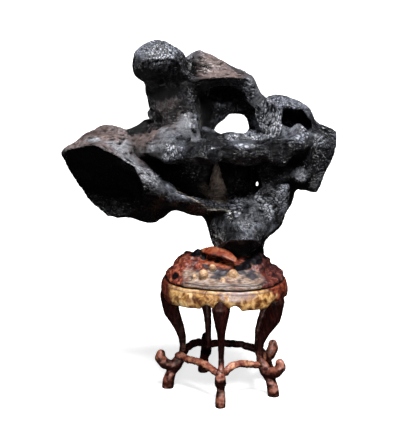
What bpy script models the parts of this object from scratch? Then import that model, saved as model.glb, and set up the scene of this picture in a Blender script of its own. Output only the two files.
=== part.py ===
"""A dark viewing stone on its carved wooden stand. Metres, +Z up, resting on Z = 0.

The shapes are laid out in millimetres, from the floor under the stand, with -Y towards the front. The finished
pieces hang on one empty, which puts the origin under the middle of the whole object's box.
"""

import math

import bmesh
import bpy
from mathutils import Matrix, Vector

MM = 0.001

# Driving dimensions, in millimetres
BOX_MIDDLE = (-25.5, -1.9)  # the middle of the object's box, seen from above
STAND_MIDDLE_X = 4.0  # the legs and the apron stand round this upright line
JOINT_GAP = 0.4  # between pieces that touch
MOUND_BOTTOM = 143.0
APRON_TOP = 142.7
APRON_EDGE = 118.5  # the apron's lower edge, between two legs
NOTCH_HEIGHT = 131.0  # the top of the pointed notch over each leg
NOTCH_HALF = 10.0
SOCKET_REACH = 192.0  # no stone lower than this touches the stand's mound

STONE_VOXEL = 2.2
STAND_VOXEL = 1.5
STONE_TRIANGLES = 3900
MOUND_TRIANGLES = 1700
LEG_TRIANGLES = 280
STRETCHER_TRIANGLES = 100

# The stone. Each group is a skin stretched over balls (x, y, z, radius), and the groups grow into one another.
LOBES = {
    "head": [(-82, 0, 403, 21), (-72, 8, 409, 22), (-54, 6, 404, 14), (-86, -10, 400, 15), (-60, -12, 400, 14)],
    "neck": [(-72, 4, 392, 18), (-52, 8, 386, 20), (-64, 8, 364, 20), (-57, 10, 344, 22), (-44, 20, 330, 26)],
    "knob": [(-28, 22, 398, 17), (-10, 22, 392, 15), (8, 20, 382, 14), (18, 16, 378, 12), (-38, 16, 384, 18)],
    "brow": [(-40, 4, 382, 12), (-20, -8, 384, 6), (8, -13, 383, 6), (26, -5, 380, 8), (10, 24, 372, 20),
             (31, 18, 366, 11)],
    "ear": [(26, -5, 382, 8), (34, -2, 373, 7), (29, 16, 371, 11), (44, -1, 356, 8)],
    "back_shoulder": [(-40, 30, 370, 22), (0, 42, 360, 22), (44, 38, 340, 20), (-44, 40, 336, 24)],
    "back_belly": [(-30, 48, 300, 20), (40, 52, 296, 22), (10, 54, 330, 16), (60, 48, 262, 18), (0, 40, 270, 20)],
    "crescent": [(47, 0, 357, 9), (65, -8, 351, 8), (79, -20, 335, 6), (60, 26, 334, 18), (66, 8, 318, 20),
                 (68, -30, 318, 9)],
    "roof": [(60, 28, 351, 9), (72, 26, 352, 9), (86, 24, 349, 9), (98, 18, 340, 8), (108, 14, 324, 9),
             (78, 44, 330, 16), (78, 4, 352, 7), (94, 0, 343, 7), (106, 2, 330, 7)],
    "far_right": [(114, 8, 319, 12), (131, 2, 315, 9), (128, 2, 298, 10), (116, 2, 272, 9), (111, 0, 259, 8),
                  (98, 26, 300, 22), (116, 24, 300, 14)],
    "right_mass": [(84, -8, 300, 24), (92, -4, 276, 17), (66, -14, 282, 20), (60, 22, 290, 30), (86, 26, 300, 26),
                   (98, 4, 262, 11)],
    "saddle": [(-72, 0, 316, 20), (-94, 0, 306, 17), (-45, -8, 314, 18), (-62, -32, 312, 14), (-30, 14, 310, 22),
               (-105, 12, 302, 20), (-84, 14, 318, 16)],
    "beam": [(-30, 10, 303, 20), (0, 20, 300, 18), (40, 20, 300, 20), (0, -30, 310, 10), (50, -20, 306, 14)],
    "wedge": [(-187, -4, 297, 5), (-164, 8, 304, 9), (-138, 18, 314, 14), (-152, -32, 309, 5), (-122, -44, 298, 5),
              (-143, 8, 248, 21), (-124, 8, 235, 20), (-108, 12, 300, 20)],
    "wedge_low": [(-122, -44, 298, 5), (-96, -48, 276, 5), (-72, -50, 262, 5), (-118, 8, 240, 21),
                  (-84, 0, 226, 15), (-58, 6, 243, 14), (-112, 16, 288, 22)],
    "cave_floor": [(-60, 0, 243, 14), (-30, 0, 236, 14), (-60, -40, 252, 8), (0, 5, 232, 18), (-60, 30, 262, 26)],
    "cave_back": [(-60, 38, 282, 24), (-10, 46, 285, 24), (45, 40, 282, 26), (0, 40, 245, 22), (-60, 36, 310, 20),
                  (40, 40, 318, 18)],
    "funnel_back": [(-30, 30, 375, 14), (20, 30, 368, 14), (-30, 34, 330, 18), (48, 34, 335, 18)],
    "pillar": [(54, -10, 300, 12), (57, -14, 262, 12), (52, 0, 235, 22), (62, 10, 270, 20)],
    "foot": [(18, 0, 174, 19), (17, 0, 190, 25), (34, 4, 204, 26), (50, 6, 226, 27), (60, 8, 246, 24),
             (12, -2, 220, 22), (-6, 4, 224, 16)],
    "foot_rim": [(76, -14, 246, 8), (66, -27, 226, 7), (57, -33, 208, 7), (45, -31, 193, 7), (33, -22, 182, 7),
                 (30, 0, 200, 20), (52, 0, 236, 20)],
    "foot_side": [(80, 4, 246, 9), (72, -4, 224, 10), (63, -4, 206, 11), (48, 2, 190, 12), (50, 10, 236, 22)],
    "foot_back": [(20, 8, 190, 24), (20, 18, 230, 26), (52, 20, 240, 26), (0, 16, 240, 22)],
}

# Water and sand wore these away. They are skins too, taken out of the lobes.
HOLLOWS = {
    "chair": [(-60, -62, 385, 38), (-58, -48, 360, 31), (-42, -50, 358, 28)],
    "under_head": [(-92, -38, 380, 19), (-76, -40, 385, 20), (-56, -40, 388, 19)],
    "funnel": [(-4, -6, 360, 19), (14, -2, 356, 18), (4, 4, 364, 17), (-2, -60, 352, 20), (12, -60, 350, 22)],
    "window": [(0, -4, 328, 8), (26, -4, 329, 10), (29, 0, 340, 8), (14, 0, 337, 9), (-1, 80, 309, 10),
               (27, 80, 310, 12), (29, 80, 320, 10), (14, 80, 318, 11)],
    "bowl": [(33, -54, 352, 53)],
    "cave": [(-56, -30, 275, 12), (-30, -10, 270, 24), (0, 0, 270, 26), (24, -12, 270, 21), (-6, -70, 262, 28),
             (-44, -80, 270, 22), (24, -70, 268, 26)],
    "cave_sag": [(-8, -16, 252, 19), (14, -14, 251, 20), (32, -16, 256, 16), (4, -70, 246, 24)],
    "cave_lip": [(-100, -62, 306, 16), (-62, -60, 280, 20), (-60, -30, 276, 12)],
    "roof_gap": [(82, -14, 337, 11), (100, -10, 330, 9), (82, 18, 335, 10), (100, 10, 327, 8), (96, -60, 338, 14)],
    "nose_gap": [(108, -34, 322, 7), (111, -40, 300, 6), (108, -18, 276, 5)],
    "pinhole": [(45, -60, 269, 3.5), (46, 80, 241, 3.5)],
    "wedge_dish": [(-146, -18, 352, 40), (-120, -18, 352, 42)],
    "facet_dish": [(-150, -102, 238, 70), (-110, -110, 226, 70)],
    "right_dish": [(72, -74, 288, 44)],
    "glint_dish": [(98, -42, 288, 24)],
    "foot_dish": [(12, -104, 226, 92)],
    "back_high": [(-6, 100, 352, 46), (20, 104, 340, 44)],
    "back_left": [(-110, 92, 286, 62)],
    "back_neck": [(-66, 80, 362, 46)],
    "back_low": [(6, 112, 262, 48), (-40, 108, 262, 44)],
    "back_right": [(92, 96, 286, 48)],
    "back_roof": [(66, 74, 372, 30)],
    "back_foot": [(70, 72, 190, 44)],
    "left_under": [(-80, 50, 206, 32), (-30, 44, 200, 26)],
}

# Harder bands that stand proud of the hollows
RIDGES = {
    "bar_left": [(-72, -28, 308, 12), (-38, -37, 308, 12), (-26, -34, 299, 10), (-60, -34, 300, 9),
                 (-40, -10, 303, 14)],
    "bar_middle": [(-32, -38, 308, 12), (-9, -43, 307, 12), (4, -36, 308, 10), (-20, -34, 297, 9), (-8, -6, 303, 14)],
    "bar_right": [(4, -34, 309, 10), (24, -41, 311, 10), (50, -37, 309, 10), (40, -35, 299, 11), (10, -36, 300, 8),
                  (36, -8, 300, 14)],
    "nose": [(92, -26, 328, 8), (99, -24, 316, 9), (88, -34, 312, 9), (84, -6, 302, 18)],
    "nose_ridge": [(88, -34, 316, 8), (64, -40, 316, 7), (46, -40, 311, 9), (70, -36, 300, 14), (62, -14, 300, 16)],
    "fin": [(-6, 12, 284, 2.5), (-16, 0, 244, 4), (9, -8, 243, 4), (-2, 26, 246, 10), (-5, 30, 284, 6)],
    "sill": [(-58, -44, 252, 4), (-38, -37, 246, 4), (-18, -24, 237, 5), (2, -12, 231, 6), (-6, 0, 226, 10),
             (-50, 0, 240, 10)],
}

# The stand's outline at the groove: turn round the middle from the front towards +X, and distance from it
WAIST = [(-180, 66), (-159, 68), (-120, 70), (-92, 71), (-63, 70.5), (-47, 68), (-27, 62.5), (-12, 62.5), (4, 64),
         (21, 68.5), (39, 72), (54, 74), (75, 74.5), (100, 73.5), (118, 73), (150, 67), (180, 66)]

# Distance outside the waist, and height, of the apron's section from its top edge round to the top again.
# None stands for the carved lower edge.
APRON_SECTION = [(-0.5, 142.7, 0), (1.4, 141, 0), (3.2, 137, 0), (4.4, 131, 0.35), (4.2, 124.5, 0.75),
                 (2.8, None, 0.6), (-1.5, None, 0), (-5.5, 127, 0.5), (-6.5, 136, 0), (-6, 142.7, 0)]
TABLE_SECTION = [(-3.5, 143.0), (-1.8, 144.0), (-0.6, 146.0), (-1.6, 148.5), (-6, 150.5)]

# The mound that grips the stone: skins, then chains, which join each ball only to the next.
MOUND = {
    "slope": [(-44, -34, 147, 6), (-22, -46, 146, 6), (4, -52, 146, 6), (34, -52, 146, 6), (56, -36, 147, 6),
              (62, 0, 147, 8), (52, 36, 147, 7), (16, 52, 147, 7), (-24, 46, 147, 7), (-48, 16, 147, 8),
              (-12, -18, 160, 9), (40, -18, 160, 9), (40, 20, 160, 10), (-8, 20, 160, 10)],
    "left_shoulder": [(-50, -12, 153, 8), (-49, 4, 158, 8), (-38, 14, 161, 9), (-40, -8, 162, 8), (-20, -4, 164, 11)],
    "left_crag": [(-46, -8, 165, 5), (-38, -20, 160, 6), (-33, -2, 168, 6), (-20, -8, 164, 8)],
    "left_root": [(-57, -20, 147, 6), (-53, -12, 153, 6), (-46, -30, 149, 6)],
    "left_lump": [(-42, -26, 155, 6), (-50, -22, 152, 5)],
    "right_shoulder": [(60, -14, 150, 8), (61, 4, 150, 8), (51, -20, 153, 8), (50, 8, 156, 8), (36, 0, 160, 12)],
    "right_crag": [(62, -8, 153, 6), (57, -24, 151, 5), (52, -4, 158, 7), (44, -24, 158, 6)],
    "right_lump": [(52, -32, 151, 6), (46, -36, 153, 5)],
    "back_crag": [(20, 44, 152, 8), (-14, 38, 154, 8), (4, 30, 162, 8)],
    "back_root": [(44, 34, 152, 8), (34, 26, 160, 8), (54, 18, 152, 7)],
    "knob": [(-28, -6, 174, 5.5), (-26, 0, 166, 7)],
    "lip_root": [(-20, -10, 175, 4), (-10, -18, 177, 4.5), (-8, -8, 178, 5), (-15, -3, 176, 5)],
    "lip": [(-10, -18, 177, 4.5), (1, -24, 178, 5), (11, -28, 175, 4.5), (12, -18, 178, 5), (-6, -8, 179, 5)],
    "lip_tip": [(11, -28, 175, 4.5), (20, -33, 168, 3.5), (21, -26, 170, 4), (12, -18, 178, 5)],
}
MOUND_CHAINS = {
    "collar": [(33, -28, 163, 5.5), (44, -18, 168, 7), (47, -4, 173, 7.5), (45, 12, 172, 7.5), (35, 25, 168, 8),
               (18, 31, 170, 7), (2, 28, 167, 7.5), (-10, 16, 170, 6.5), (-15, 4, 169, 6), (-18, -8, 171, 5)],
    "collar_low": [(30, -33, 158, 6), (44, -25, 160, 7), (52, -8, 162, 7), (53, 8, 160, 7), (42, 27, 158, 8)],
    "fold": [(-30, -16, 163, 6), (-12, -30, 159, 5), (8, -37, 156.5, 5), (26, -37, 155, 4.5), (40, -30, 156, 4.5)],
    "left_vein": [(-50, -8, 158, 4), (-40, -20, 158, 4), (-36, -32, 152, 4)],
    "right_vein": [(52, -30, 148, 4), (50, -20, 155, 4), (58, -12, 157, 4)],
    "back_vein": [(30, 50, 148, 5), (12, 38, 161, 5), (-4, 46, 150, 4)],
}
KNOTS = [(-20, -44, 158, 6.5), (-9, -35, 164, 4.6), (15, -44, 158, 6.5), (-31, -43, 155, 3.6), (3, -51, 153, 3),
         (-40, 22, 164, 5), (24, 44, 161, 5.5), (58, 12, 159, 4.5)]
MOUND_HOLLOWS = {
    "under_lip": [(-24, -20, 169.5, 2), (-4, -33, 168, 2.2), (-4, -24, 168.5, 2)],
    "under_lip_end": [(-4, -33, 168, 2.2), (18, -40, 161.5, 2), (14, -30, 163, 2)],
    "left_pit": [(-58, -2, 166, 9)],
    "right_pit": [(66, -2, 162, 8), (56, -36, 158, 6)],
    "back_pit": [(-34, 36, 166, 11), (30, 56, 164, 8)],
}

# Legs: turn of the leg round the middle, and of its scroll, in degrees from the front towards +X
LEGS = {
    "leg_front": (-3, -3),
    "leg_right": (65, 62),
    "leg_back_right": (118, 140),
    "leg_back_left": (-159, -180),
    "leg_left": (-92, -92),
}
# Height, inner and outer distance from the middle, and width, of a leg where the waist is 70 mm out
SHANK = [(139, 52, 66, 19), (128, 53, 74.5, 22), (119, 54, 76, 23), (108, 53, 74, 18.5), (98, 51.5, 71.5, 14.5),
         (88, 49, 65.5, 10.5), (78, 46.5, 59.5, 8.6), (67, 45, 55, 8), (56, 45, 53, 7), (46, 44.5, 54, 7.4),
         (38, 45.5, 60, 9.5), (29, 50, 67, 11)]
ANKLE = [(29, 50, 67, 11), (20, 57, 70, 10), (10, 59, 74, 13), (2, 60, 75, 13)]
SCROLL = [(28, 61, 6), (32, 72, 6.2), (39, 78.5, 5), (45, 77.5, 4)]  # height, distance and radius
SCROLL_ROOT = 56.0  # the scroll turns away from the leg from this distance on

STRETCHER_THICKNESS = 8.4
STRETCHERS = {
    "stretcher_front_left": [(-51, -5.5, 44), (-45, -7, 43.5), (-38, -14, 41.5), (-27, -25, 43), (-18, -34, 42),
                             (-10, -42, 39), (-4, -48, 36.5)],
    "stretcher_front_right": [(7, -48.5, 37.5), (13, -43, 43), (24, -36, 44), (36, -28, 41), (45, -25, 38)],
    "stretcher_left_back": [(-44.5, 7.5, 43), (-40, 11, 48), (-34, 17, 51.5), (-27, 28, 50), (-18.5, 43.5, 44)],
    "stretcher_back": [(-8, 47, 42), (6, 41, 44.5), (27, 33, 46), (44, 28, 41)],
    "stretcher_right_back": [(50, -15, 39), (53, -4, 43), (53, 8, 43), (49.5, 17.5, 39)],
}

# sRGB hex colour and roughness
STONE_LOOK = ("#2b2b2e", 0.45)
MOUND_LOOK = ("#6d3a28", 0.5)
APRON_LOOK = ("#c09a55", 0.45)
LEG_LOOK = ("#52211c", 0.4)
STRETCHER_LOOK = ("#a05a42", 0.45)


def link(name, mesh):
    obj = bpy.data.objects.new(name, mesh)
    bpy.context.scene.collection.objects.link(obj)
    return obj


def as_helper(obj):
    obj.hide_render = True
    obj.display_type = "WIRE"
    return obj


def add_skin(whole, balls):
    """Adds the convex skin round some balls, given in millimetres, to a bmesh."""
    skin = bmesh.new()
    finer = {1: 4, 2: 3}.get(len(balls), 2)
    for x, y, z, radius in balls:
        centre = Matrix.Translation(Vector((x, y, z)) * MM)
        bmesh.ops.create_icosphere(skin, subdivisions=finer, radius=radius * MM, matrix=centre)
    bmesh.ops.delete(skin, geom=skin.edges[:], context="EDGES_FACES")
    hull = bmesh.ops.convex_hull(skin, input=skin.verts[:])
    inside = [item for item in hull["geom_interior"] if isinstance(item, bmesh.types.BMVert)]
    bmesh.ops.delete(skin, geom=inside, context="VERTS")
    bmesh.ops.recalc_face_normals(skin, faces=skin.faces[:])
    mesh = bpy.data.meshes.new("skin")
    skin.to_mesh(mesh)
    skin.free()
    whole.from_mesh(mesh)
    bpy.data.meshes.remove(mesh)


def chain_links(balls):
    return [balls[i : i + 2] for i in range(len(balls) - 1)]


def skins_object(name, groups):
    whole = bmesh.new()
    for balls in groups:
        add_skin(whole, balls)
    mesh = bpy.data.meshes.new(name)
    whole.to_mesh(mesh)
    whole.free()
    return link(name, mesh)


def add_remesh(obj, voxel):
    modifier = obj.modifiers.new("Remesh", "REMESH")
    modifier.mode = "VOXEL"
    modifier.voxel_size = voxel * MM
    modifier.use_smooth_shade = True


def add_smooth(obj, times):
    modifier = obj.modifiers.new("Smooth", "SMOOTH")
    modifier.factor = 0.5
    modifier.iterations = times


def add_boolean(obj, other, operation):
    modifier = obj.modifiers.new(operation.title(), "BOOLEAN")
    modifier.operation = operation
    modifier.object = other
    modifier.solver = "EXACT"


def add_displace(obj, texture, strength, direction):
    modifier = obj.modifiers.new(texture.name, "DISPLACE")
    modifier.texture = texture
    modifier.texture_coords = "LOCAL"
    modifier.direction = direction
    modifier.strength = strength * MM
    modifier.mid_level = 0.5


def settle(obj):
    """Applies the object's modifiers."""
    bpy.context.view_layer.update()
    graph = bpy.context.evaluated_depsgraph_get()
    mesh = bpy.data.meshes.new_from_object(obj.evaluated_get(graph))
    mesh.name = obj.name
    obj.modifiers.clear()
    obj.data = mesh


def thin_out(obj, triangles):
    """Keeps about this many triangles, the most where the surface bends."""
    settle(obj)
    count = sum(len(face.vertices) - 2 for face in obj.data.polygons)
    modifier = obj.modifiers.new("Decimate", "DECIMATE")
    modifier.ratio = min(1.0, triangles / count)
    settle(obj)


def grown_copy(obj, name, below=None):
    """A cutter that leaves the joint gap round a piece, and only its lower part if a height is given."""
    bm = bmesh.new()
    bm.from_mesh(obj.data)
    if below is not None:
        geometry = bm.verts[:] + bm.edges[:] + bm.faces[:]
        cut = bmesh.ops.bisect_plane(
            bm, geom=geometry, plane_co=(0, 0, below * MM), plane_no=(0, 0, 1), clear_outer=True
        )
        rim = [item for item in cut["geom_cut"] if isinstance(item, bmesh.types.BMEdge)]
        bmesh.ops.triangle_fill(bm, edges=rim, use_beauty=True)
        bmesh.ops.recalc_face_normals(bm, faces=bm.faces[:])
    bm.normal_update()
    places = [vert.co + vert.normal * JOINT_GAP * MM for vert in bm.verts]
    for vert, place in zip(bm.verts, places):
        vert.co = place
    mesh = bpy.data.meshes.new(name)
    bm.to_mesh(mesh)
    bm.free()
    return as_helper(link(name, mesh))


def slab(name, low, high):
    """A wide box between two heights, for cutting flat faces."""
    bm = bmesh.new()
    middle = Matrix.Translation((0, 0, (low + high) / 2 * MM))
    size = Matrix.Diagonal((0.4, 0.4, (high - low) * MM, 1))
    bmesh.ops.create_cube(bm, size=1, matrix=middle @ size)
    mesh = bpy.data.meshes.new(name)
    bm.to_mesh(mesh)
    bm.free()
    return as_helper(link(name, mesh))


def make_stone():
    hollows = as_helper(skins_object("hollows", HOLLOWS.values()))
    add_remesh(hollows, STONE_VOXEL)
    add_smooth(hollows, 5)
    ridges = as_helper(skins_object("ridges", RIDGES.values()))
    add_remesh(ridges, STONE_VOXEL * 0.8)
    add_smooth(ridges, 3)

    stone = skins_object("stone", LOBES.values())
    add_remesh(stone, STONE_VOXEL)
    add_smooth(stone, 8)
    add_boolean(stone, hollows, "DIFFERENCE")
    add_boolean(stone, ridges, "UNION")
    add_remesh(stone, STONE_VOXEL)
    add_smooth(stone, 2)

    drift = bpy.data.textures.new("drift", "CLOUDS")
    drift.noise_scale = 42 * MM
    drift.noise_depth = 1
    drift.cloud_type = "COLOR"
    add_displace(stone, drift, 9, "RGB_TO_XYZ")
    creases = bpy.data.textures.new("creases", "MUSGRAVE")
    creases.musgrave_type = "RIDGED_MULTIFRACTAL"
    creases.noise_scale = 26 * MM
    creases.octaves = 3
    creases.noise_intensity = 0.55
    add_displace(stone, creases, 2.4, "NORMAL")
    thin_out(stone, STONE_TRIANGLES)
    return stone


def waist_radius(turn):
    """The stand's outline at the groove, for a turn in degrees."""
    turn = (turn + 180) % 360 - 180
    for (before, near), (after, far) in zip(WAIST, WAIST[1:]):
        if before <= turn <= after:
            share = (turn - before) / (after - before)
            return near + (far - near) * (1 - math.cos(math.pi * share)) / 2
    return WAIST[0][1]


def point_at(turn, distance, across=0.0):
    """The plan point this far from the stand's middle at a turn in degrees, and this far to its side."""
    angle = math.radians(turn)
    x = STAND_MIDDLE_X + distance * math.sin(angle) + across * math.cos(angle)
    y = -distance * math.cos(angle) + across * math.sin(angle)
    return x, y


def apron_edge(turn):
    """Height of the apron's lower edge: a pointed notch over each leg, with a small arch on both sides of it."""
    away = min(abs((turn - leg + 180) % 360 - 180) for leg, _ in LEGS.values())
    away = math.radians(away) * (waist_radius(turn) + 5)
    if away < NOTCH_HALF:
        return NOTCH_HEIGHT - away
    if away < NOTCH_HALF + 16:
        return APRON_EDGE + 2 + 4.5 * math.sin(math.pi * (away - NOTCH_HALF) / 16)
    return APRON_EDGE


def ring_mesh(name, sections, closed_section):
    """Joins sections set round the stand into a closed mesh: a ring, or a disc whose sections end at its middle."""
    bm = bmesh.new()
    rows = [[bm.verts.new(Vector(point) * MM) for point in section] for section in sections]
    count = len(rows[0])
    for row, following in zip(rows, rows[1:] + rows[:1]):
        for i in range(count if closed_section else count - 1):
            j = (i + 1) % count
            bm.faces.new((row[i], row[j], following[j], following[i]))
    if not closed_section:
        bm.faces.new([row[0] for row in rows])
        bm.faces.new([row[-1] for row in rows])
    bmesh.ops.recalc_face_normals(bm, faces=bm.faces[:])
    bmesh.ops.triangulate(bm, faces=bm.faces[:])
    mesh = bpy.data.meshes.new(name)
    bm.to_mesh(mesh)
    bm.free()
    return link(name, mesh)


def apron_turns():
    """Turns of the apron's sections: every 7.5 degrees, and closer at each notch."""
    turns = {step * 7.5 for step in range(-24, 24)}
    for leg, _ in LEGS.values():
        turns = {turn for turn in turns if abs((turn - leg + 180) % 360 - 180) > 10}
        turns |= {leg - 8.2, leg - 4, leg, leg + 4, leg + 8.2}
    return sorted((turn + 180) % 360 - 180 for turn in turns)


def make_apron():
    sections = []
    for turn in apron_turns():
        edge = apron_edge(turn)
        section = []
        for out, height, follow in APRON_SECTION:
            if height is None:
                height = edge + follow
            else:
                height += (edge - APRON_EDGE) * follow
            section.append((*point_at(turn, waist_radius(turn) + out), height))
        sections.append(section)
    return ring_mesh("apron", sections, closed_section=True)


def make_mound(stone):
    sections = []
    for step in range(72):
        turn = step * 5
        sections.append([(*point_at(turn, waist_radius(turn) + out), height) for out, height in TABLE_SECTION])
    mound = ring_mesh("stand_top", sections, closed_section=False)
    groups = list(MOUND.values())
    for balls in MOUND_CHAINS.values():
        groups += chain_links(balls)
    groups += [[knot] for knot in KNOTS]
    growth = skins_object("growth", groups)
    bm = bmesh.new()
    bm.from_mesh(mound.data)
    bm.from_mesh(growth.data)
    bm.to_mesh(mound.data)
    bm.free()
    bpy.data.objects.remove(growth)

    pits = as_helper(skins_object("pits", MOUND_HOLLOWS.values()))
    add_remesh(pits, STAND_VOXEL)
    add_remesh(mound, STAND_VOXEL)
    add_smooth(mound, 2)
    add_boolean(mound, pits, "DIFFERENCE")
    add_remesh(mound, STAND_VOXEL)
    add_smooth(mound, 1)
    gnarls = bpy.data.textures.new("gnarls", "CLOUDS")
    gnarls.noise_scale = 9 * MM
    gnarls.noise_depth = 1
    add_displace(mound, gnarls, 4.0, "NORMAL")
    thin_out(mound, MOUND_TRIANGLES)
    add_boolean(mound, slab("above_groove", MOUND_BOTTOM, 300), "INTERSECT")
    add_boolean(mound, grown_copy(stone, "socket", below=SOCKET_REACH), "DIFFERENCE")
    settle(mound)
    return mound


def leg_section(section, turn):
    """Four balls that give a leg its inner and outer distance and its width at one height."""
    height, inner, outer, width = section
    pull = max(0.0, min(1.0, (height - 66) / 30)) * (waist_radius(turn) - 70)
    radius = 0.48 * min(width, outer - inner)
    balls = []
    for distance in (inner + radius, outer - radius):
        for across in (radius - width / 2, width / 2 - radius):
            balls.append((*point_at(turn, distance + pull, across), height, radius))
    return balls


def scroll_balls(turn, scroll_turn):
    angle = math.radians(scroll_turn)
    root_x, root_y = point_at(turn, SCROLL_ROOT)
    balls = []
    for height, distance, radius in SCROLL:
        out = distance - SCROLL_ROOT
        balls.append((root_x + out * math.sin(angle), root_y - out * math.cos(angle), height, radius))
    return balls


def make_leg(name, turn, scroll_turn, room, apron_room):
    groups = []
    for sections in (SHANK, ANKLE):
        for upper, lower in zip(sections, sections[1:]):
            groups.append(leg_section(upper, turn) + leg_section(lower, turn))
    groups += chain_links(scroll_balls(turn, scroll_turn))
    leg = skins_object(name, groups)
    add_remesh(leg, STAND_VOXEL * 0.8)
    add_smooth(leg, 2)
    thin_out(leg, LEG_TRIANGLES)
    add_boolean(leg, room, "INTERSECT")
    add_boolean(leg, apron_room, "DIFFERENCE")
    settle(leg)
    return leg


def make_stretcher(name, points, leg_rooms):
    radius = STRETCHER_THICKNESS / 2
    balls = [(x, y, z, radius) for x, y, z in points]
    stretcher = skins_object(name, chain_links(balls))
    add_remesh(stretcher, STAND_VOXEL * 0.8)
    add_smooth(stretcher, 4)
    thin_out(stretcher, STRETCHER_TRIANGLES)
    for room in leg_rooms:
        add_boolean(stretcher, room, "DIFFERENCE")
    settle(stretcher)
    return stretcher


def linear(channel):
    return channel / 12.92 if channel <= 0.04045 else ((channel + 0.055) / 1.055) ** 2.4


def paint(obj, look):
    colour, roughness = look
    material = bpy.data.materials.new(obj.name)
    material.use_nodes = True
    shader = material.node_tree.nodes["Principled BSDF"]
    channels = [int(colour[i : i + 2], 16) / 255 for i in (1, 3, 5)]
    shader.inputs["Base Color"].default_value = (*map(linear, channels), 1)
    shader.inputs["Roughness"].default_value = roughness
    shader.inputs["Metallic"].default_value = 0.0
    obj.data.materials.clear()
    obj.data.materials.append(material)


def finish(obj, base, look, sharp=50):
    paint(obj, look)
    obj.data.shade_smooth()
    obj.data.set_sharp_from_angle(angle=math.radians(sharp))
    obj.parent = base


def clear_scene():
    for obj in list(bpy.data.objects):
        bpy.data.objects.remove(obj)


def main():
    clear_scene()
    base = bpy.data.objects.new("rock_and_stand", None)
    base.location = (-BOX_MIDDLE[0] * MM, -BOX_MIDDLE[1] * MM, 0)
    bpy.context.scene.collection.objects.link(base)

    stone = make_stone()
    finish(stone, base, STONE_LOOK)
    finish(make_mound(stone), base, MOUND_LOOK)
    apron = make_apron()
    finish(apron, base, APRON_LOOK)

    under_mound = slab("under_mound", 0, APRON_TOP)
    apron_room = grown_copy(apron, "apron_room")
    leg_rooms = []
    for name, (turn, scroll_turn) in LEGS.items():
        leg = make_leg(name, turn, scroll_turn, under_mound, apron_room)
        finish(leg, base, LEG_LOOK)
        leg_rooms.append(grown_copy(leg, name + "_room"))
    for name, points in STRETCHERS.items():
        finish(make_stretcher(name, points, leg_rooms), base, STRETCHER_LOOK)


if __name__ == "__main__":
    main()
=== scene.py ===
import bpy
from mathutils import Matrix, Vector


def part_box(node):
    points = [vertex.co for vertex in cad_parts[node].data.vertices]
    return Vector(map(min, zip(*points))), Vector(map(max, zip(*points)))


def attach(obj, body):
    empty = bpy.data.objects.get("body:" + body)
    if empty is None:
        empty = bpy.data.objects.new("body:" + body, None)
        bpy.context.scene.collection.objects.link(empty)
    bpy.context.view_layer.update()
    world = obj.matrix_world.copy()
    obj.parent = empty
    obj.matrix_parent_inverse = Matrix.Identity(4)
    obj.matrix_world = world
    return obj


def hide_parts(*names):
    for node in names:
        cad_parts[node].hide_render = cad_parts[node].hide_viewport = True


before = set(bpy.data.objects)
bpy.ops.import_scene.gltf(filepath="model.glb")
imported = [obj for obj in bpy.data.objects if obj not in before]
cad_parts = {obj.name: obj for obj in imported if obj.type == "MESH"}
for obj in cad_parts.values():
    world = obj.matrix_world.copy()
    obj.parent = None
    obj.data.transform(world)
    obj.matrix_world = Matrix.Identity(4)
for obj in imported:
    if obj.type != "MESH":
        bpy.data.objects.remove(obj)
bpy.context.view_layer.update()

# A dark viewing stone on its carved wooden stand. The shapes are laid out in millimetres, from the floor under
# the stand, with -Y to the front. settle_in_frame then moves each piece to the frame, which has its origin under
# the middle of the whole object's box.

import math

import bmesh
import bpy
import numpy as np
from mathutils import Matrix, Vector, noise

# Starts the noise that bends the patterns, so that each run bends them alike
noise.seed_set(3)

MM = 0.001
BOX_MIDDLE = (-25.5, -1.9)
STAND_MIDDLE_X = 4.0

# The width of the small cubes that each mesh is remade from, in millimetres
STONE_DRAFT_VOXEL = 2.2
RIDGE_DRAFT_VOXEL = STONE_DRAFT_VOXEL * 0.8
STONE_VOXEL = 1.64
STAND_DRAFT_VOXEL = 1.5
MOUND_VOXEL = 1.05
LEG_VOXEL = 0.8

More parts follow.
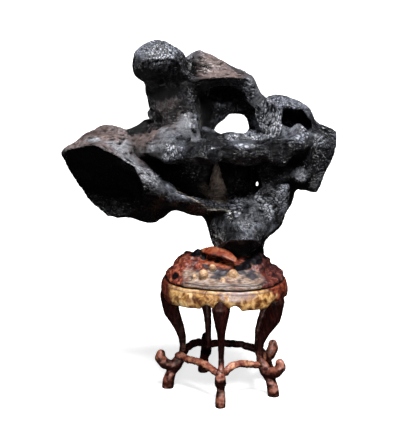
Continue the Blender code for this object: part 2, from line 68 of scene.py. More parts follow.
# The stone. Each group is a skin stretched over balls (x, y, z, radius), and the groups grow into one another.
LOBES = {
    "head": [(-82, 0, 403, 21), (-72, 8, 409, 22), (-54, 6, 404, 14), (-86, -10, 400, 15), (-60, -12, 400, 14)],
    "neck": [(-72, 4, 392, 18), (-52, 8, 386, 20), (-64, 8, 364, 20), (-57, 10, 344, 22), (-44, 20, 330, 26)],
    "knob": [(-28, 22, 398, 17), (-10, 22, 392, 15), (8, 20, 382, 14), (18, 16, 378, 12), (-38, 16, 384, 18)],
    "brow": [(-40, 4, 382, 12), (-20, -8, 384, 6), (8, -13, 383, 6), (26, -5, 380, 8), (10, 24, 372, 20),
             (31, 18, 366, 11)],
    "ear": [(26, -5, 382, 8), (34, -2, 373, 7), (29, 16, 371, 11), (44, -1, 356, 8)],
    "back_shoulder": [(-40, 30, 370, 22), (0, 42, 360, 22), (44, 38, 340, 20), (-44, 40, 336, 24)],
    "back_belly": [(-30, 48, 300, 20), (40, 52, 296, 22), (10, 54, 330, 16), (60, 48, 262, 18), (0, 40, 270, 20)],
    "crescent": [(47, 0, 357, 9), (65, -8, 351, 8), (79, -20, 335, 6), (60, 26, 334, 18), (66, 8, 318, 20),
                 (68, -30, 318, 9)],
    "roof": [(60, 28, 351, 9), (72, 26, 352, 9), (86, 24, 349, 9), (98, 18, 340, 8), (108, 14, 324, 9),
             (78, 44, 330, 16), (78, 4, 352, 7), (94, 0, 343, 7), (106, 2, 330, 7)],
    "far_right": [(114, 8, 319, 12), (131, 2, 315, 9), (128, 2, 298, 10), (116, 2, 272, 9), (111, 0, 259, 8),
                  (98, 26, 300, 22), (116, 24, 300, 14)],
    "right_mass": [(84, -8, 300, 24), (92, -4, 276, 17), (66, -14, 282, 20), (60, 22, 290, 30), (86, 26, 300, 26),
                   (98, 4, 262, 11)],
    "saddle": [(-72, 0, 316, 20), (-94, 0, 306, 17), (-45, -8, 314, 18), (-62, -32, 312, 14), (-30, 14, 310, 22),
               (-105, 12, 302, 20), (-84, 14, 318, 16)],
    "beam": [(-30, 10, 303, 20), (0, 20, 300, 18), (40, 20, 300, 20), (0, -30, 310, 10), (50, -20, 306, 14)],
    "wedge": [(-187, -4, 297, 5), (-164, 8, 304, 9), (-138, 18, 314, 14), (-152, -32, 309, 5), (-122, -44, 298, 5),
              (-143, 8, 248, 21), (-124, 8, 235, 20), (-108, 12, 300, 20)],
    "wedge_low": [(-122, -44, 298, 5), (-96, -48, 276, 5), (-72, -50, 262, 5), (-118, 8, 240, 21),
                  (-84, 0, 226, 15), (-58, 6, 243, 14), (-112, 16, 288, 22)],
    "cave_floor": [(-60, 0, 243, 14), (-30, 0, 236, 14), (-60, -40, 252, 8), (0, 5, 232, 18), (-60, 30, 262, 26)],
    "cave_back": [(-60, 38, 282, 24), (-10, 46, 285, 24), (45, 40, 282, 26), (0, 40, 245, 22), (-60, 36, 310, 20),
                  (40, 40, 318, 18)],
    "funnel_back": [(-30, 30, 375, 14), (20, 30, 368, 14), (-30, 34, 330, 18), (48, 34, 335, 18)],
    "pillar": [(54, -10, 300, 12), (57, -14, 262, 12), (52, 0, 235, 22), (62, 10, 270, 20)],
    "foot": [(18, 0, 174, 19), (17, 0, 190, 25), (34, 4, 204, 26), (50, 6, 226, 27), (60, 8, 246, 24),
             (12, -2, 220, 22), (-6, 4, 224, 16)],
    "foot_rim": [(76, -14, 246, 8), (66, -27, 226, 7), (57, -33, 208, 7), (45, -31, 193, 7), (33, -22, 182, 7),
                 (30, 0, 200, 20), (52, 0, 236, 20)],
    "foot_side": [(80, 4, 246, 9), (72, -4, 224, 10), (63, -4, 206, 11), (48, 2, 190, 12), (50, 10, 236, 22)],
    "foot_back": [(20, 8, 190, 24), (20, 18, 230, 26), (52, 20, 240, 26), (0, 16, 240, 22)],
}

# Water and sand wore these away. They are skins too, taken out of the lobes.
HOLLOWS = {
    "chair": [(-60, -62, 385, 38), (-58, -48, 360, 31), (-42, -50, 358, 28)],
    "under_head": [(-92, -38, 380, 19), (-76, -40, 385, 20), (-56, -40, 388, 19)],
    "funnel": [(-4, -6, 360, 19), (14, -2, 356, 18), (4, 4, 364, 17), (-2, -60, 352, 20), (12, -60, 350, 22)],
    "window": [(0, -4, 328, 8), (26, -4, 329, 10), (29, 0, 340, 8), (14, 0, 337, 9), (-1, 80, 309, 10),
               (27, 80, 310, 12), (29, 80, 320, 10), (14, 80, 318, 11)],
    "bowl": [(33, -54, 352, 53)],
    "cave": [(-56, -30, 275, 12), (-30, -10, 270, 24), (0, 0, 270, 26), (24, -12, 270, 21), (-6, -70, 262, 28),
             (-44, -80, 270, 22), (24, -70, 268, 26)],
    "cave_sag": [(-8, -16, 252, 19), (14, -14, 251, 20), (32, -16, 256, 16), (4, -70, 246, 24)],
    "cave_lip": [(-100, -62, 306, 16), (-62, -60, 280, 20), (-60, -30, 276, 12)],
    "roof_gap": [(82, -14, 337, 11), (100, -10, 330, 9), (82, 18, 335, 10), (100, 10, 327, 8), (96, -60, 338, 14)],
    "nose_gap": [(108, -34, 322, 7), (111, -40, 300, 6), (108, -18, 276, 5)],
    "pinhole": [(45, -60, 269, 3.5), (46, 80, 241, 3.5)],
    "wedge_dish": [(-146, -18, 352, 40), (-120, -18, 352, 42)],
    "facet_dish": [(-150, -102, 238, 70), (-110, -110, 226, 70)],
    "right_dish": [(72, -74, 288, 44)],
    "glint_dish": [(98, -42, 288, 24)],
    "foot_dish": [(12, -104, 226, 92)],
    "back_high": [(-6, 100, 352, 46), (20, 104, 340, 44)],
    "back_left": [(-110, 92, 286, 62)],
    "back_neck": [(-66, 80, 362, 46)],
    "back_low": [(6, 112, 262, 48), (-40, 108, 262, 44)],
    "back_right": [(92, 96, 286, 48)],
    "back_roof": [(66, 74, 372, 30)],
    "back_foot": [(70, 72, 190, 44)],
    "left_under": [(-80, 50, 206, 32), (-30, 44, 200, 26)],
    "roof_gap_left": [(79, -24, 346, 6), (79, 12, 347, 6), (92, -20, 340, 8), (92, 8, 340, 8)],
    "pinhole_top": [(45, -60, 274, 2.4), (46, 80, 246, 2.4), (45, -60, 269, 2.6), (46, 80, 241, 2.6)],
}

# Harder bands that stand proud of the hollows
RIDGES = {
    "bar_left": [(-72, -28, 308, 12), (-38, -37, 308, 12), (-26, -34, 299, 10), (-60, -34, 300, 9),
                 (-40, -10, 303, 14)],
    "bar_middle": [(-32, -38, 308, 12), (-9, -43, 307, 12), (4, -36, 308, 10), (-20, -34, 297, 9), (-8, -6, 303, 14)],
    "bar_right": [(4, -34, 309, 10), (24, -41, 311, 10), (50, -37, 309, 10), (40, -35, 299, 11), (10, -36, 300, 8),
                  (36, -8, 300, 14)],
    "nose": [(92, -26, 328, 8), (99, -24, 316, 9), (88, -34, 312, 9), (84, -6, 302, 18)],
    "nose_ridge": [(88, -34, 316, 8), (64, -40, 316, 7), (46, -40, 311, 9), (70, -36, 300, 14), (62, -14, 300, 16)],
    "fin": [(-6, 12, 287, 0.8), (-14, 2, 247, 1.5), (-7, -9, 247, 1.5), (7, -4, 249, 1.5), (-5, 26, 250, 3),
            (-6, 26, 282, 1.5)],
    "sill": [(-58, -44, 252, 4), (-38, -37, 246, 4), (-18, -24, 237, 5), (2, -12, 231, 6), (-6, 0, 226, 10),
             (-50, 0, 240, 10)],
    # These fill the corners where the stone's limbs meet
    "neck_root": [(-60, -4, 340, 9), (-34, -2, 338, 9), (-66, -26, 321, 9), (-34, -24, 322, 9), (-45, -4, 320, 12)],
    "bar_slope": [(-74, -24, 320, 9), (-54, -24, 321, 9), (-76, -32, 309, 9), (-56, -34, 308, 9)],
    "foot_front": [(8, -18, 196, 9), (24, -25, 193, 9), (40, -26, 194, 9), (54, -20, 206, 9), (62, -10, 222, 9),
                   (62, 4, 240, 9), (22, 4, 238, 9), (6, -10, 214, 9)],
    "elbow": [(90, -14, 279, 9), (104, -10, 277, 8), (98, -18, 270, 8), (96, 0, 276, 12)],
    "elbow_root": [(92, -6, 264, 7), (84, -4, 254, 8), (76, 2, 248, 8)],
    "foot_shoulder": [(46, -12, 244, 8), (64, -17, 251, 9), (74, -17, 254, 8), (72, -17, 240, 8), (60, -18, 230, 10),
                      (70, 4, 244, 10)],
    "neck_heel": [(-80, 2, 342, 6), (-70, 4, 344, 8)],
}

# Planes that the water has left: three points of each, and the middle and radius of the ball that it works in
FLATS = {
    "wedge_front": ((-172, -15, 305), (-122, -42, 303), (-130, 14, 238), (-140, -20, 274, 60)),
    "foot_face": ((10, -33, 198), (50, -33, 200), (40, -15, 250), (30, -20, 214, 54)),
    "foot_under": ((0, -34, 200), (60, -36, 201), (30, -4, 173), (30, -28, 188, 36)),
    "head_under": ((-97, -21, 410), (-47, -19, 415), (-72, 0, 374), (-72, -20, 392, 44)),
    "neck_front": ((-90, -4, 372), (-40, -4, 372), (-60, -12, 335), (-64, -10, 358, 34)),
    "brow_under": ((-18, -12, 391), (34, -10, 389), (10, 10, 362), (2, -12, 378, 33)),
}
# Swellings and shrinkings of the outline: x, z and radius of each, and its shift in x and z
SWELLS = [
    (-96, 422, 30, -2.6, 3.2), (-43, 417, 20, 2.6, 2.4), (-20, 420, 26, 0, 4.6), (-2, 408, 22, 1.6, 1.6),
    (36, 392, 20, 5, 4), (-85, 358, 28, -4, 0), (38, 333, 18, -4.4, 0.6), (106, 352, 26, 2, 2),
    (136, 325, 24, 2.8, 2), (118, 253, 26, 3, -4), (78, 222, 16, -1.6, 0), (-158, 250, 45, -5, -4.8),
    (-176, 280, 26, -1.4, -2), (-130, 221, 30, -1.2, -3.4), (-82, 214, 26, 0, -3.6), (-34, 221, 24, 0, -2.6),
    (66, 190, 26, -8, 0),
]

# In millimetres: how wide the wrinkles are, how much thickness smoothing took, and how deep the pinhole is
WRINKLE_WIDTH = 4.6
SMOOTHED_AWAY = 0.9
PINHOLE_DEPTH = 2

# Where highlights are painted on the skin, as painted highlights: x, y, z and radius, as in the lists of spots that
# follow
SILVER_SPOTS = [
    (-38, -21, 335, 22), (-31, -26, 326, 16), (-65, -42, 312, 19), (-80, -37, 310, 13), (-66, -28, 331, 14),
    (-113, -20, 314, 14), (-116, -25, 308, 14), (-105, -36, 299, 20), (-98, -42, 290, 15), (-86, -46, 279, 13),
    (-76, -42, 276, 14), (-73, -48, 268, 10), (57, -22, 246, 22), (68, -20, 252, 14), (50, -22, 230, 18),
    (28, -26, 222, 18), (64, -16, 236, 12), (36, -14, 238, 18), (16, -20, 320, 12), (37, -16, 318, 15),
    (62, -16, 334, 24), (116, -2, 313, 11), (93, -22, 274, 12), (37, -5, 379, 18), (50, -4, 358, 16),
    (-72, -16, 418, 24), (90, -25, 337, 16), (-126, -20, 318, 16), (43, 10, 330, 14), (-150, -10, 310, 14),
]
# Where the pale layer is taken off again, as painted shade
RUBBED_SPOTS = [
    (-20, 18, 256, 50), (-60, 14, 270, 36), (34, 12, 258, 32), (-10, -20, 318, 34), (30, -20, 316, 20),
    (-96, 10, 320, 20), (58, -38, 312, 24), (110, 0, 330, 10), (-14, -42, 313, 34), (-66, -10, 364, 30),
    (-82, 0, 345, 26), (-84, 2, 330, 22), (-80, -8, 352, 26), (-72, -4, 338, 18), (-68, -10, 352, 26),
    (-55, -18, 405, 15), (-34, -6, 356, 18), (-42, -6, 402, 22), (-38, -24, 248, 22), (-28, -34, 246, 18),
    (-14, -24, 238, 16), (0, -14, 233, 14), (4, -22, 212, 26), (72, -14, 222, 18), (68, -14, 200, 20),
    (80, -8, 243, 13), (-98, -14, 398, 16), (112, -6, 284, 20), (126, 0, 324, 14), (86, -6, 238, 16),
    (76, -10, 214, 14), (66, -14, 196, 14), (50, -26, 198, 14),
]
# Where the skin has weathered brown, and below, where it is browned and made a little paler
WARM_SPOTS = [(-150, 0, 316, 62), (-95, -20, 312, 40), (0, 0, 396, 46), (-60, -10, 345, 30), (70, 20, 200, 50)]
BROWN_SPOTS = [(-130, -30, 262, 60), (-95, -34, 240, 40)]
# Where the crinkles run up and down, and where they run level
UPRIGHT_SPOTS = [(-72, 0, 410, 50), (60, -10, 330, 40)]
LEVEL_SPOTS = [(-56, 0, 345, 50), (116, 0, 290, 60), (60, -30, 290, 40), (-130, -20, 310, 50)]
# The pale fin inside the cave
FIN_SPOTS = [(-5, 0, 262, 24), (-3, -2, 246, 16)]
PINHOLE = [(-30, -25, 329, 5)]
# A vein of white calcite across the front: x, and a height that leans back by a quarter of the depth
VEIN = [(-51, 249.5), (-41, 244.6), (-31, 239.7), (-22, 232.7), (-13, 226.6), (-3, 225.9), (11, 224.6)]

# The stand's outline at the groove: turn round the middle from the front towards +X, and distance from it
WAIST = [(-180, 66), (-159, 68), (-120, 70), (-92, 71), (-63, 70.5), (-47, 68), (-27, 62.5), (-12, 62.5), (4, 64),
         (21, 68.5), (39, 72), (54, 74), (75, 74.5), (100, 73.5), (118, 73), (150, 67), (180, 66)]

# The apron's edge stands at this height, and rises to a notch over each leg, whose half width is measured along it
APRON_EDGE = 118.5
APRON_BULGE = 5
NOTCH_HEIGHT = 131.0
NOTCH_HALF = 10.0
# The small arch beside each notch: how wide it is, how far its ends stand over the edge, and how much it rises
ARCH_WIDTH = 16.0
ARCH_FOOT = 2
ARCH_RISE = 4.5
# Heights of the groove cut round the apron, of the painted shadow under its lip, and of the pale line over it, a
# painted highlight
RIM_GROOVE = 139.2
RIM_SHADOW = 138.6
RIM_LINE = 140.2
# The apron's section from its top edge down the front: distance outside the waist, height, and the share of the
# edge's rise that the point follows. None stands for the carved lower edge, and a distance above it comes next.
APRON_SECTION = [(-0.5, 142.7, 0), (1.4, 141, 0), (3.2, 137, 0), (4.4, 131, 0.35), (4.2, 124.5, 0.75),
                 (2.8, None, 0.6), (-1.5, None, 0), (-5.5, 127, 0.5)]
# A ledge inside carries the mound and closes the groove
APRON_LEDGE = [(-7, 136), (-15, 138), (-15, 142.9), (-6, 142.9), (-3, 142.9)]
# Dark spots of the apron's burl: turn, height and radius
BURL_SPOTS = [(-31, 131, 8), (-37, 129, 7), (-25, 129, 6), (-50, 128, 6), (-33, 122, 6), (-13, 125, 4), (14, 128, 6),
              (33, 126, 7), (40, 129, 5), (26, 123, 5), (20, 131, 4), (48, 125, 5), (-42, 137, 3), (-6, 133, 3)]

# The mound that grips the stone: skins, then chains, which join each ball only to the next
MOUND = {
    "slope": [(-44, -34, 147, 6), (-22, -46, 146, 6), (4, -52, 146, 6), (34, -52, 146, 6), (56, -36, 147, 6),
              (62, 0, 147, 8), (52, 36, 147, 7), (16, 52, 147, 7), (-24, 46, 147, 7), (-48, 16, 147, 8),
              (-12, -18, 160, 9), (40, -18, 160, 9), (40, 20, 160, 10), (-8, 20, 160, 10)],
    "left_shoulder": [(-50, -12, 153, 8), (-49, 4, 158, 8), (-38, 14, 161, 9), (-40, -8, 162, 8), (-20, -4, 164, 11)],
    "left_crag": [(-46, -8, 165, 5), (-38, -20, 160, 6), (-33, -2, 168, 6), (-20, -8, 164, 8)],
    "left_root": [(-57, -20, 147, 6), (-53, -12, 153, 6), (-46, -30, 149, 6)],
    "left_lump": [(-42, -26, 155, 6), (-50, -22, 152, 5)],
    "right_shoulder": [(60, -14, 150, 8), (61, 4, 150, 8), (51, -20, 153, 8), (50, 8, 156, 8), (36, 0, 160, 12)],
    "right_crag": [(62, -8, 153, 6), (57, -24, 151, 5), (52, -4, 158, 7), (44, -24, 158, 6)],
    "right_lump": [(52, -32, 151, 6), (46, -36, 153, 5)],
    "back_crag": [(20, 44, 152, 8), (-14, 38, 154, 8), (4, 30, 162, 8)],
    "back_root": [(44, 34, 152, 8), (34, 26, 160, 8), (54, 18, 152, 7)],
    "knob": [(-28, -6, 174, 5.5), (-26, 0, 166, 7)],
}
MOUND_CHAINS = {
    "collar": [(33, -28, 163, 5.5), (44, -18, 168, 7), (47, -4, 173, 7.5), (45, 12, 172, 7.5), (35, 25, 168, 8),
               (18, 31, 170, 7), (2, 28, 167, 7.5), (-10, 16, 170, 6.5), (-15, 4, 169, 6), (-18, -8, 171, 5)],
    "collar_low": [(30, -33, 158, 6), (44, -25, 160, 7), (52, -8, 162, 7), (53, 8, 160, 7), (42, 27, 158, 8)],
    "fold": [(-30, -16, 163, 6), (-12, -30, 159, 5), (8, -37, 156.5, 5), (26, -37, 155, 4.5), (40, -30, 156, 4.5)],
    "left_vein": [(-50, -8, 158, 4), (-40, -20, 158, 4), (-36, -32, 152, 4)],
    "right_vein": [(52, -30, 148, 4), (50, -20, 155, 4), (58, -12, 157, 4)],
    "back_vein": [(30, 50, 148, 5), (12, 38, 161, 5), (-4, 46, 150, 4)],
}
MOUND_HOLLOWS = {
    "under_lip": [(-24, -20, 169.5, 2), (-4, -33, 168, 2.2), (-4, -24, 168.5, 2)],
    "under_lip_end": [(-4, -33, 168, 2.2), (18, -40, 161.5, 2), (14, -30, 163, 2)],
    "left_pit": [(-58, -2, 166, 9)],
    "right_pit": [(66, -2, 162, 8), (56, -36, 158, 6)],
    "back_pit": [(-34, 36, 166, 11), (30, 56, 164, 8)],
}
KNOTS = [(-20, -44, 158, 6.5), (-9, -35, 164, 4.6), (15, -44, 158, 6.5), (-31, -43, 155, 3.6), (3, -51, 153, 3),
         (-40, 22, 164, 5), (24, 44, 161, 5.5), (58, 12, 159, 4.5)]
KNOT_LIFT = 1.2
CRACK_HEIGHT = 148.4
# Distance outside the waist, and height, of the mound's edge over the groove
TABLE_EDGE = [(-3.5, 143.0), (-1.0, 143.5), (-0.2, 145.0), (-1.6, 148.5), (-6, 150.5)]
# The carved leaf that leans on the stone: points on its upper and lower edge, and half its thickness
LEAF = [((-22, -8, 179), (-21, -12, 177), 1.4), ((-14, -8, 181.5), (-13, -21, 177), 1.8),
        ((-4, -13, 182.5), (-4, -26, 177), 2.0), ((5, -18, 181.5), (4, -30, 176), 2.0),
        ((13, -23, 178), (12, -33, 173), 1.8), ((20, -30, 173), (19, -35, 170), 1.3)]
LEAF_ROOT = [(-16, -2, 174, 4), (-8, -8, 177, 4), (4, -12, 177, 4), (14, -18, 173, 4)]
# Where the root's stains lie, where it is burnt black, with painted shade under the leaf and in hollows, and its leaf
STAINS = [(-33, -36, 160, 9), (-25, -38, 163, 9), (-14, -34, 168, 9), (0, -42, 160, 10), (7, -40, 163, 9),
          (24, -38, 161, 8), (36, -40, 156, 11), (44, -36, 151, 8), (-8, -44, 152, 7)]
CHAR = [(30, -30, 165, 10), (40, -20, 171, 13), (46, -4, 174, 14), (22, -32, 164, 7), (-28, -6, 174, 10),
        (-52, -26, 149, 8), (-20, -14, 172, 5), (-12, -19, 171, 5), (-4, -22, 170, 5), (4, -26, 170, 5),
        (11, -30, 168, 4.5), (18, -33, 166, 4), (40, 14, 172, 12), (0, 28, 168, 12), (-14, 10, 170, 9)]
LIP = [(-20, -10, 178, 7), (-10, -16, 180, 9), (1, -22, 180, 9), (11, -28, 177, 8), (19, -32, 172, 5),
       (-18, -18, 166, 8), (-6, -22, 165, 9), (6, -26, 165, 9), (18, -31, 163, 7)]

# Legs: turn of the leg round the middle, and of its scroll, in degrees from the front towards +X
LEGS = {
    "leg_front": (-3, -3),
    "leg_right": (65, 62),
    "leg_back_right": (118, 140),
    "leg_back_left": (-159, -180),
    "leg_left": (-92, -92),
}
# Height, inner and outer distance from the middle, and width, of a leg where the waist is 70 mm out
LEG_WAIST = 70
# Up to this height a leg stands free of the waist's outline, and this much higher it follows it fully
LEG_FREE_HEIGHT = 66
LEG_FOLLOW_SPAN = 30
SHANK = [(139, 52, 66, 19), (128, 53, 74.5, 22), (119, 54, 76, 23), (108, 53, 74, 18.5), (98, 51.5, 71.5, 14.5),
         (88, 49, 65.5, 10.5), (78, 46.5, 59.5, 8.6), (67, 45, 55, 8), (56, 45, 53, 7), (46, 44.5, 54, 7.4),
         (38, 45.5, 60, 9.5), (29, 50, 67, 11)]
ANKLE = [(29, 50, 67, 11), (20, 57, 70, 10), (10, 59, 74, 13), (2, 60, 75, 13)]
# The scroll turns away from the leg from this distance on. Its height, distance from the middle and radius:
SCROLL_ROOT = 56.0
SCROLL = [(28, 61, 6.5), (31, 71, 7), (38, 76.8, 6.7), (43.5, 76, 5.5)]
# The foot's distance from the middle, and the height and radius of what is rubbed there
FOOT_DISTANCE = 68
FOOT_RUB = (6, 12)

STRETCHER_RADIUS = 4.2 * 1.1
STRETCHERS = {
    "stretcher_front_left": [(-51, -5.5, 44), (-45, -7, 43.5), (-38, -14, 41.5), (-27, -25, 43), (-18, -34, 42),
                             (-10, -42, 39), (-4, -48, 36.5)],
    "stretcher_front_right": [(7, -48.5, 37.5), (13, -43, 43), (24, -36, 44), (36, -28, 41), (45, -25, 38)],
    "stretcher_left_back": [(-44.5, 7.5, 43), (-40, 11, 48), (-34, 17, 51.5), (-27, 28, 50), (-18.5, 43.5, 44)],
    "stretcher_back": [(-8, 47, 42), (6, 41, 44.5), (27, 33, 46), (44, 28, 41)],
    "stretcher_right_back": [(50, -15, 39), (53, -4, 43), (53, 8, 43), (49.5, 17.5, 39)],
}

# The camera has a long lens a little above the object, and looks straight at its front. Metres and degrees.
CAMERA_TARGET = (0.0015, 0.0019, 0.224)
CAMERA_DISTANCE = 2.4
CAMERA_ELEVATION = 14.5
CAMERA_LENS = 170.2
CAMERA_SENSOR = 36

# Lamps: kind, place and target in metres, and settings. The stand's lamp has a grid, and the fin's a snoot.
LAMPS = {
    "overhead_light": ("SUN", (0.3, -0.98, 2), (0, 0, 0), {"energy": 6.5, "angle": math.radians(24)}),
    "stand_light": ("AREA", (-0.25, -1.6, 0.3), (0, 0, 0.08), {
        "energy": 0.1, "shape": "RECTANGLE", "size": 0.34, "size_y": 0.12, "spread": math.radians(8)}),
    "fin_light": ("SPOT", (0.35, -1.6, 0.42), (0.02, 0.0, 0.265), {
        "energy": 22, "spot_size": math.radians(2.2), "spot_blend": 0.6, "shadow_soft_size": 0.02}),
}
FLOOR_HALF = 15
PAPER_GLOW = 0.76
AIR_GLOW = 0.015

# Camera, floor and light


def linear(colour):
    """The linear RGBA of an sRGB hex colour."""
    channels = [int(colour[i : i + 2], 16) / 255 for i in (1, 3, 5)]
    return [c / 12.92 if c <= 0.04045 else ((c + 0.055) / 1.055) ** 2.4 for c in channels] + [1.0]


def set_up(thing, **settings):
    """Gives a lamp, texture, modifier or node its settings."""
    for name, value in settings.items():
        setattr(thing, name, value)
    return thing


def link(name, mesh):
    obj = bpy.data.objects.new(name, mesh)
    bpy.context.scene.collection.objects.link(obj)
    return obj


def object_from(name, bm):
    """An object of the scene with the bmesh's shape. The bmesh is spent."""
    mesh = bpy.data.meshes.new(name)
    bm.to_mesh(mesh)
    bm.free()
    return link(name, mesh)


def aim(obj, target):
    obj.rotation_mode = "QUATERNION"
    obj.rotation_quaternion = (Vector(target) - obj.location).to_track_quat("-Z", "Y")


def make_camera():
    target = Vector(CAMERA_TARGET)
    elevation = math.radians(CAMERA_ELEVATION)
    camera = link("camera", bpy.data.cameras.new("camera"))
    set_up(camera.data, lens=CAMERA_LENS, sensor_width=CAMERA_SENSOR)
    camera.location = target + CAMERA_DISTANCE * Vector((0, -math.cos(elevation), math.sin(elevation)))
    aim(camera, target)
    bpy.context.scene.camera = camera


def make_studio():
    """A white floor and three lamps, in air that looks white to the camera and lights the pieces only faintly."""
    bm = bmesh.new()
    bmesh.ops.create_grid(bm, x_segments=1, y_segments=1, size=FLOOR_HALF)
    floor = object_from("floor", bm)
    floor.data.materials.append(white_paper())
    set_up(floor, visible_diffuse=False, visible_glossy=False)
    for name, (kind, place, target, settings) in LAMPS.items():
        obj = link(name, set_up(bpy.data.lights.new(name, kind), **settings))
        obj.location = place
        aim(obj, target)
    world = bpy.data.worlds.new("studio_air")
    world.use_nodes = True
    air = world.node_tree.nodes["Background"]
    air.inputs["Color"].default_value = linear("#ffffff")
    seen = add_node(world.node_tree, "LightPath", out="Is Camera Ray")
    glow = {"Value": seen, "To Min": AIR_GLOW, "To Max": 1.0}
    add_node(world.node_tree, "MapRange", glow, to=air.inputs["Strength"])
    bpy.context.scene.world = world
    bpy.context.scene.view_settings.view_transform = "Standard"


# Finishes


def per_mm(size):
    """The texture scale that makes a pattern's cells this many millimetres wide."""
    return 1 / (size * MM)


def add_node(tree, kind, links=None, stops=None, out=None, to=None, **settings):
    """Adds a node, links its output to the socket that to names, and gives the output.

    links maps an input to a value or to another node's output, and stops are a ramp's places and colours.
    """
    node = set_up(tree.nodes.new("ShaderNode" + kind), **settings)
    for name, value in (links or {}).items():
        named = node.inputs[name] if isinstance(name, int) else next(
            socket for socket in node.inputs if socket.name == name and socket.enabled
        )
        if isinstance(value, bpy.types.NodeSocket):
            tree.links.new(value, named)
        else:
            named.default_value = value
    if stops:
        elements = node.color_ramp.elements
        while len(elements) < len(stops):
            elements.new(0.5)
        for element, (place, colour) in zip(elements, stops):
            element.position = place
            element.color = linear(colour)
    output = node.outputs[out] if out else next(socket for socket in node.outputs if socket.enabled)
    if to is not None:
        tree.links.new(output, to)
    return output


def new_finish(name, ior, roughness):
    material = bpy.data.materials.new(name)
    material.use_nodes = True
    shader = material.node_tree.nodes["Principled BSDF"]
    shader.inputs["IOR"].default_value = ior
    shader.inputs["Roughness"].default_value = roughness
    return material, material.node_tree, shader


def read_masks(tree, *names):
    """The place on the piece, and what is painted on its points under each name."""
    masks = {name: add_node(tree, "Attribute", attribute_name=name, out="Fac") for name in names}
    return add_node(tree, "TexCoord", out="Object"), masks


def white_paper():
    """Matt background paper, lit so brightly that it shows neither grain nor edge."""
    material, _, shader = new_finish("white_paper", 1.45, 0.9)
    shader.inputs["Base Color"].default_value = linear("#e6e6e6")
    shader.inputs["Emission Color"].default_value = linear("#ffffff")
    shader.inputs["Emission Strength"].default_value = PAPER_GLOW
    return material


def black_limestone():
    """Lingbi limestone: water has worn it into crinkles, and handling has waxed its black body.

    What faces up is painted paler and duller, as old dust and as painted light, with painted highlights in places;
    the cracks between the crinkles are painted dark, as painted shade, and the crinkles catch the light in small
    glints.
    """
    material, tree, shader = new_finish("black_limestone", 1.58, 0.3)
    place, masks = read_masks(tree, "dust", "warm", "pale", "upright", "silver", "vein")
    # The real crinkles are a millimetre or two across, drawn here at three so that they show
    bend = add_node(tree, "TexNoise", {"Vector": place, "Scale": per_mm(5), "Detail": 3.0}, out="Color")
    bent_place = add_node(tree, "VectorMath", {0: bend, 1: (6 * MM,) * 3, 2: place}, operation="MULTIPLY_ADD")
    level = add_node(tree, "Mapping", {"Vector": bent_place, "Scale": (0.45, 0.7, 1.0)})
    steep = add_node(tree, "Mapping", {"Vector": bent_place, "Scale": (1.0, 1.0, 0.4)})
    run = add_node(tree, "Mix", {"Factor": masks["upright"], "A": level, "B": steep}, data_type="VECTOR")
    cracks = add_node(
        tree, "TexVoronoi", {"Vector": run, "Scale": per_mm(2.8)}, feature="DISTANCE_TO_EDGE", out="Distance"
    )
    # The cracks between the crinkles darken the pale layer, as painted shade in them, and the same pattern gives the
    # bump
    crinkle = add_node(
        tree, "MapRange", {"Value": cracks, "From Min": 0.03, "From Max": 0.22, "To Min": 0.02, "To Max": 1.0}
    )
    patches = add_node(tree, "TexNoise", {"Vector": place, "Scale": per_mm(28), "Detail": 4.0, "Roughness": 0.6})
    colour = add_node(tree, "ValToRGB", {"Fac": patches}, stops=[(0.3, "#070708"), (0.7, "#121214")])
    # Brown weathering fills the crinkles, so their painted crack shade hardly shows in it
    filled = add_node(tree, "Math", {0: masks["warm"], 1: 0.7}, operation="MULTIPLY", use_clamp=True)
    lie = add_node(tree, "Mix", {"Factor": filled, "A": crinkle, "B": 0.62}, data_type="FLOAT")
    amount = add_node(tree, "Math", {0: masks["dust"], 1: lie}, operation="MULTIPLY", use_clamp=True)
    dust = linear("#a3a7b6")
    # The pale layer turns brown where weathered, and to a brighter painted highlight where the painted highlight mask
    # lies
    for mask, brown_or_silver in (("warm", "#a08b87"), ("silver", "#c4c7d0")):
        over = {"Factor": masks[mask], "A": dust, "B": linear(brown_or_silver)}
        dust = add_node(tree, "Mix", over, data_type="RGBA")
    for share, over in ((amount, dust), (masks["pale"], linear("#a08d80")), (masks["vein"], linear("#b3aba0"))):
        colour = add_node(tree, "Mix", {"Factor": share, "A": colour, "B": over}, data_type="RGBA")
    tree.links.new(colour, shader.inputs["Base Color"])
    add_node(
        tree, "MapRange", {"Value": masks["dust"], "To Min": 0.24, "To Max": 0.5}, to=shader.inputs["Roughness"]
    )
    add_node(
        tree, "Bump", {"Height": crinkle, "Strength": 1.0, "Distance": 0.9 * MM}, to=shader.inputs["Normal"]
    )
    return material


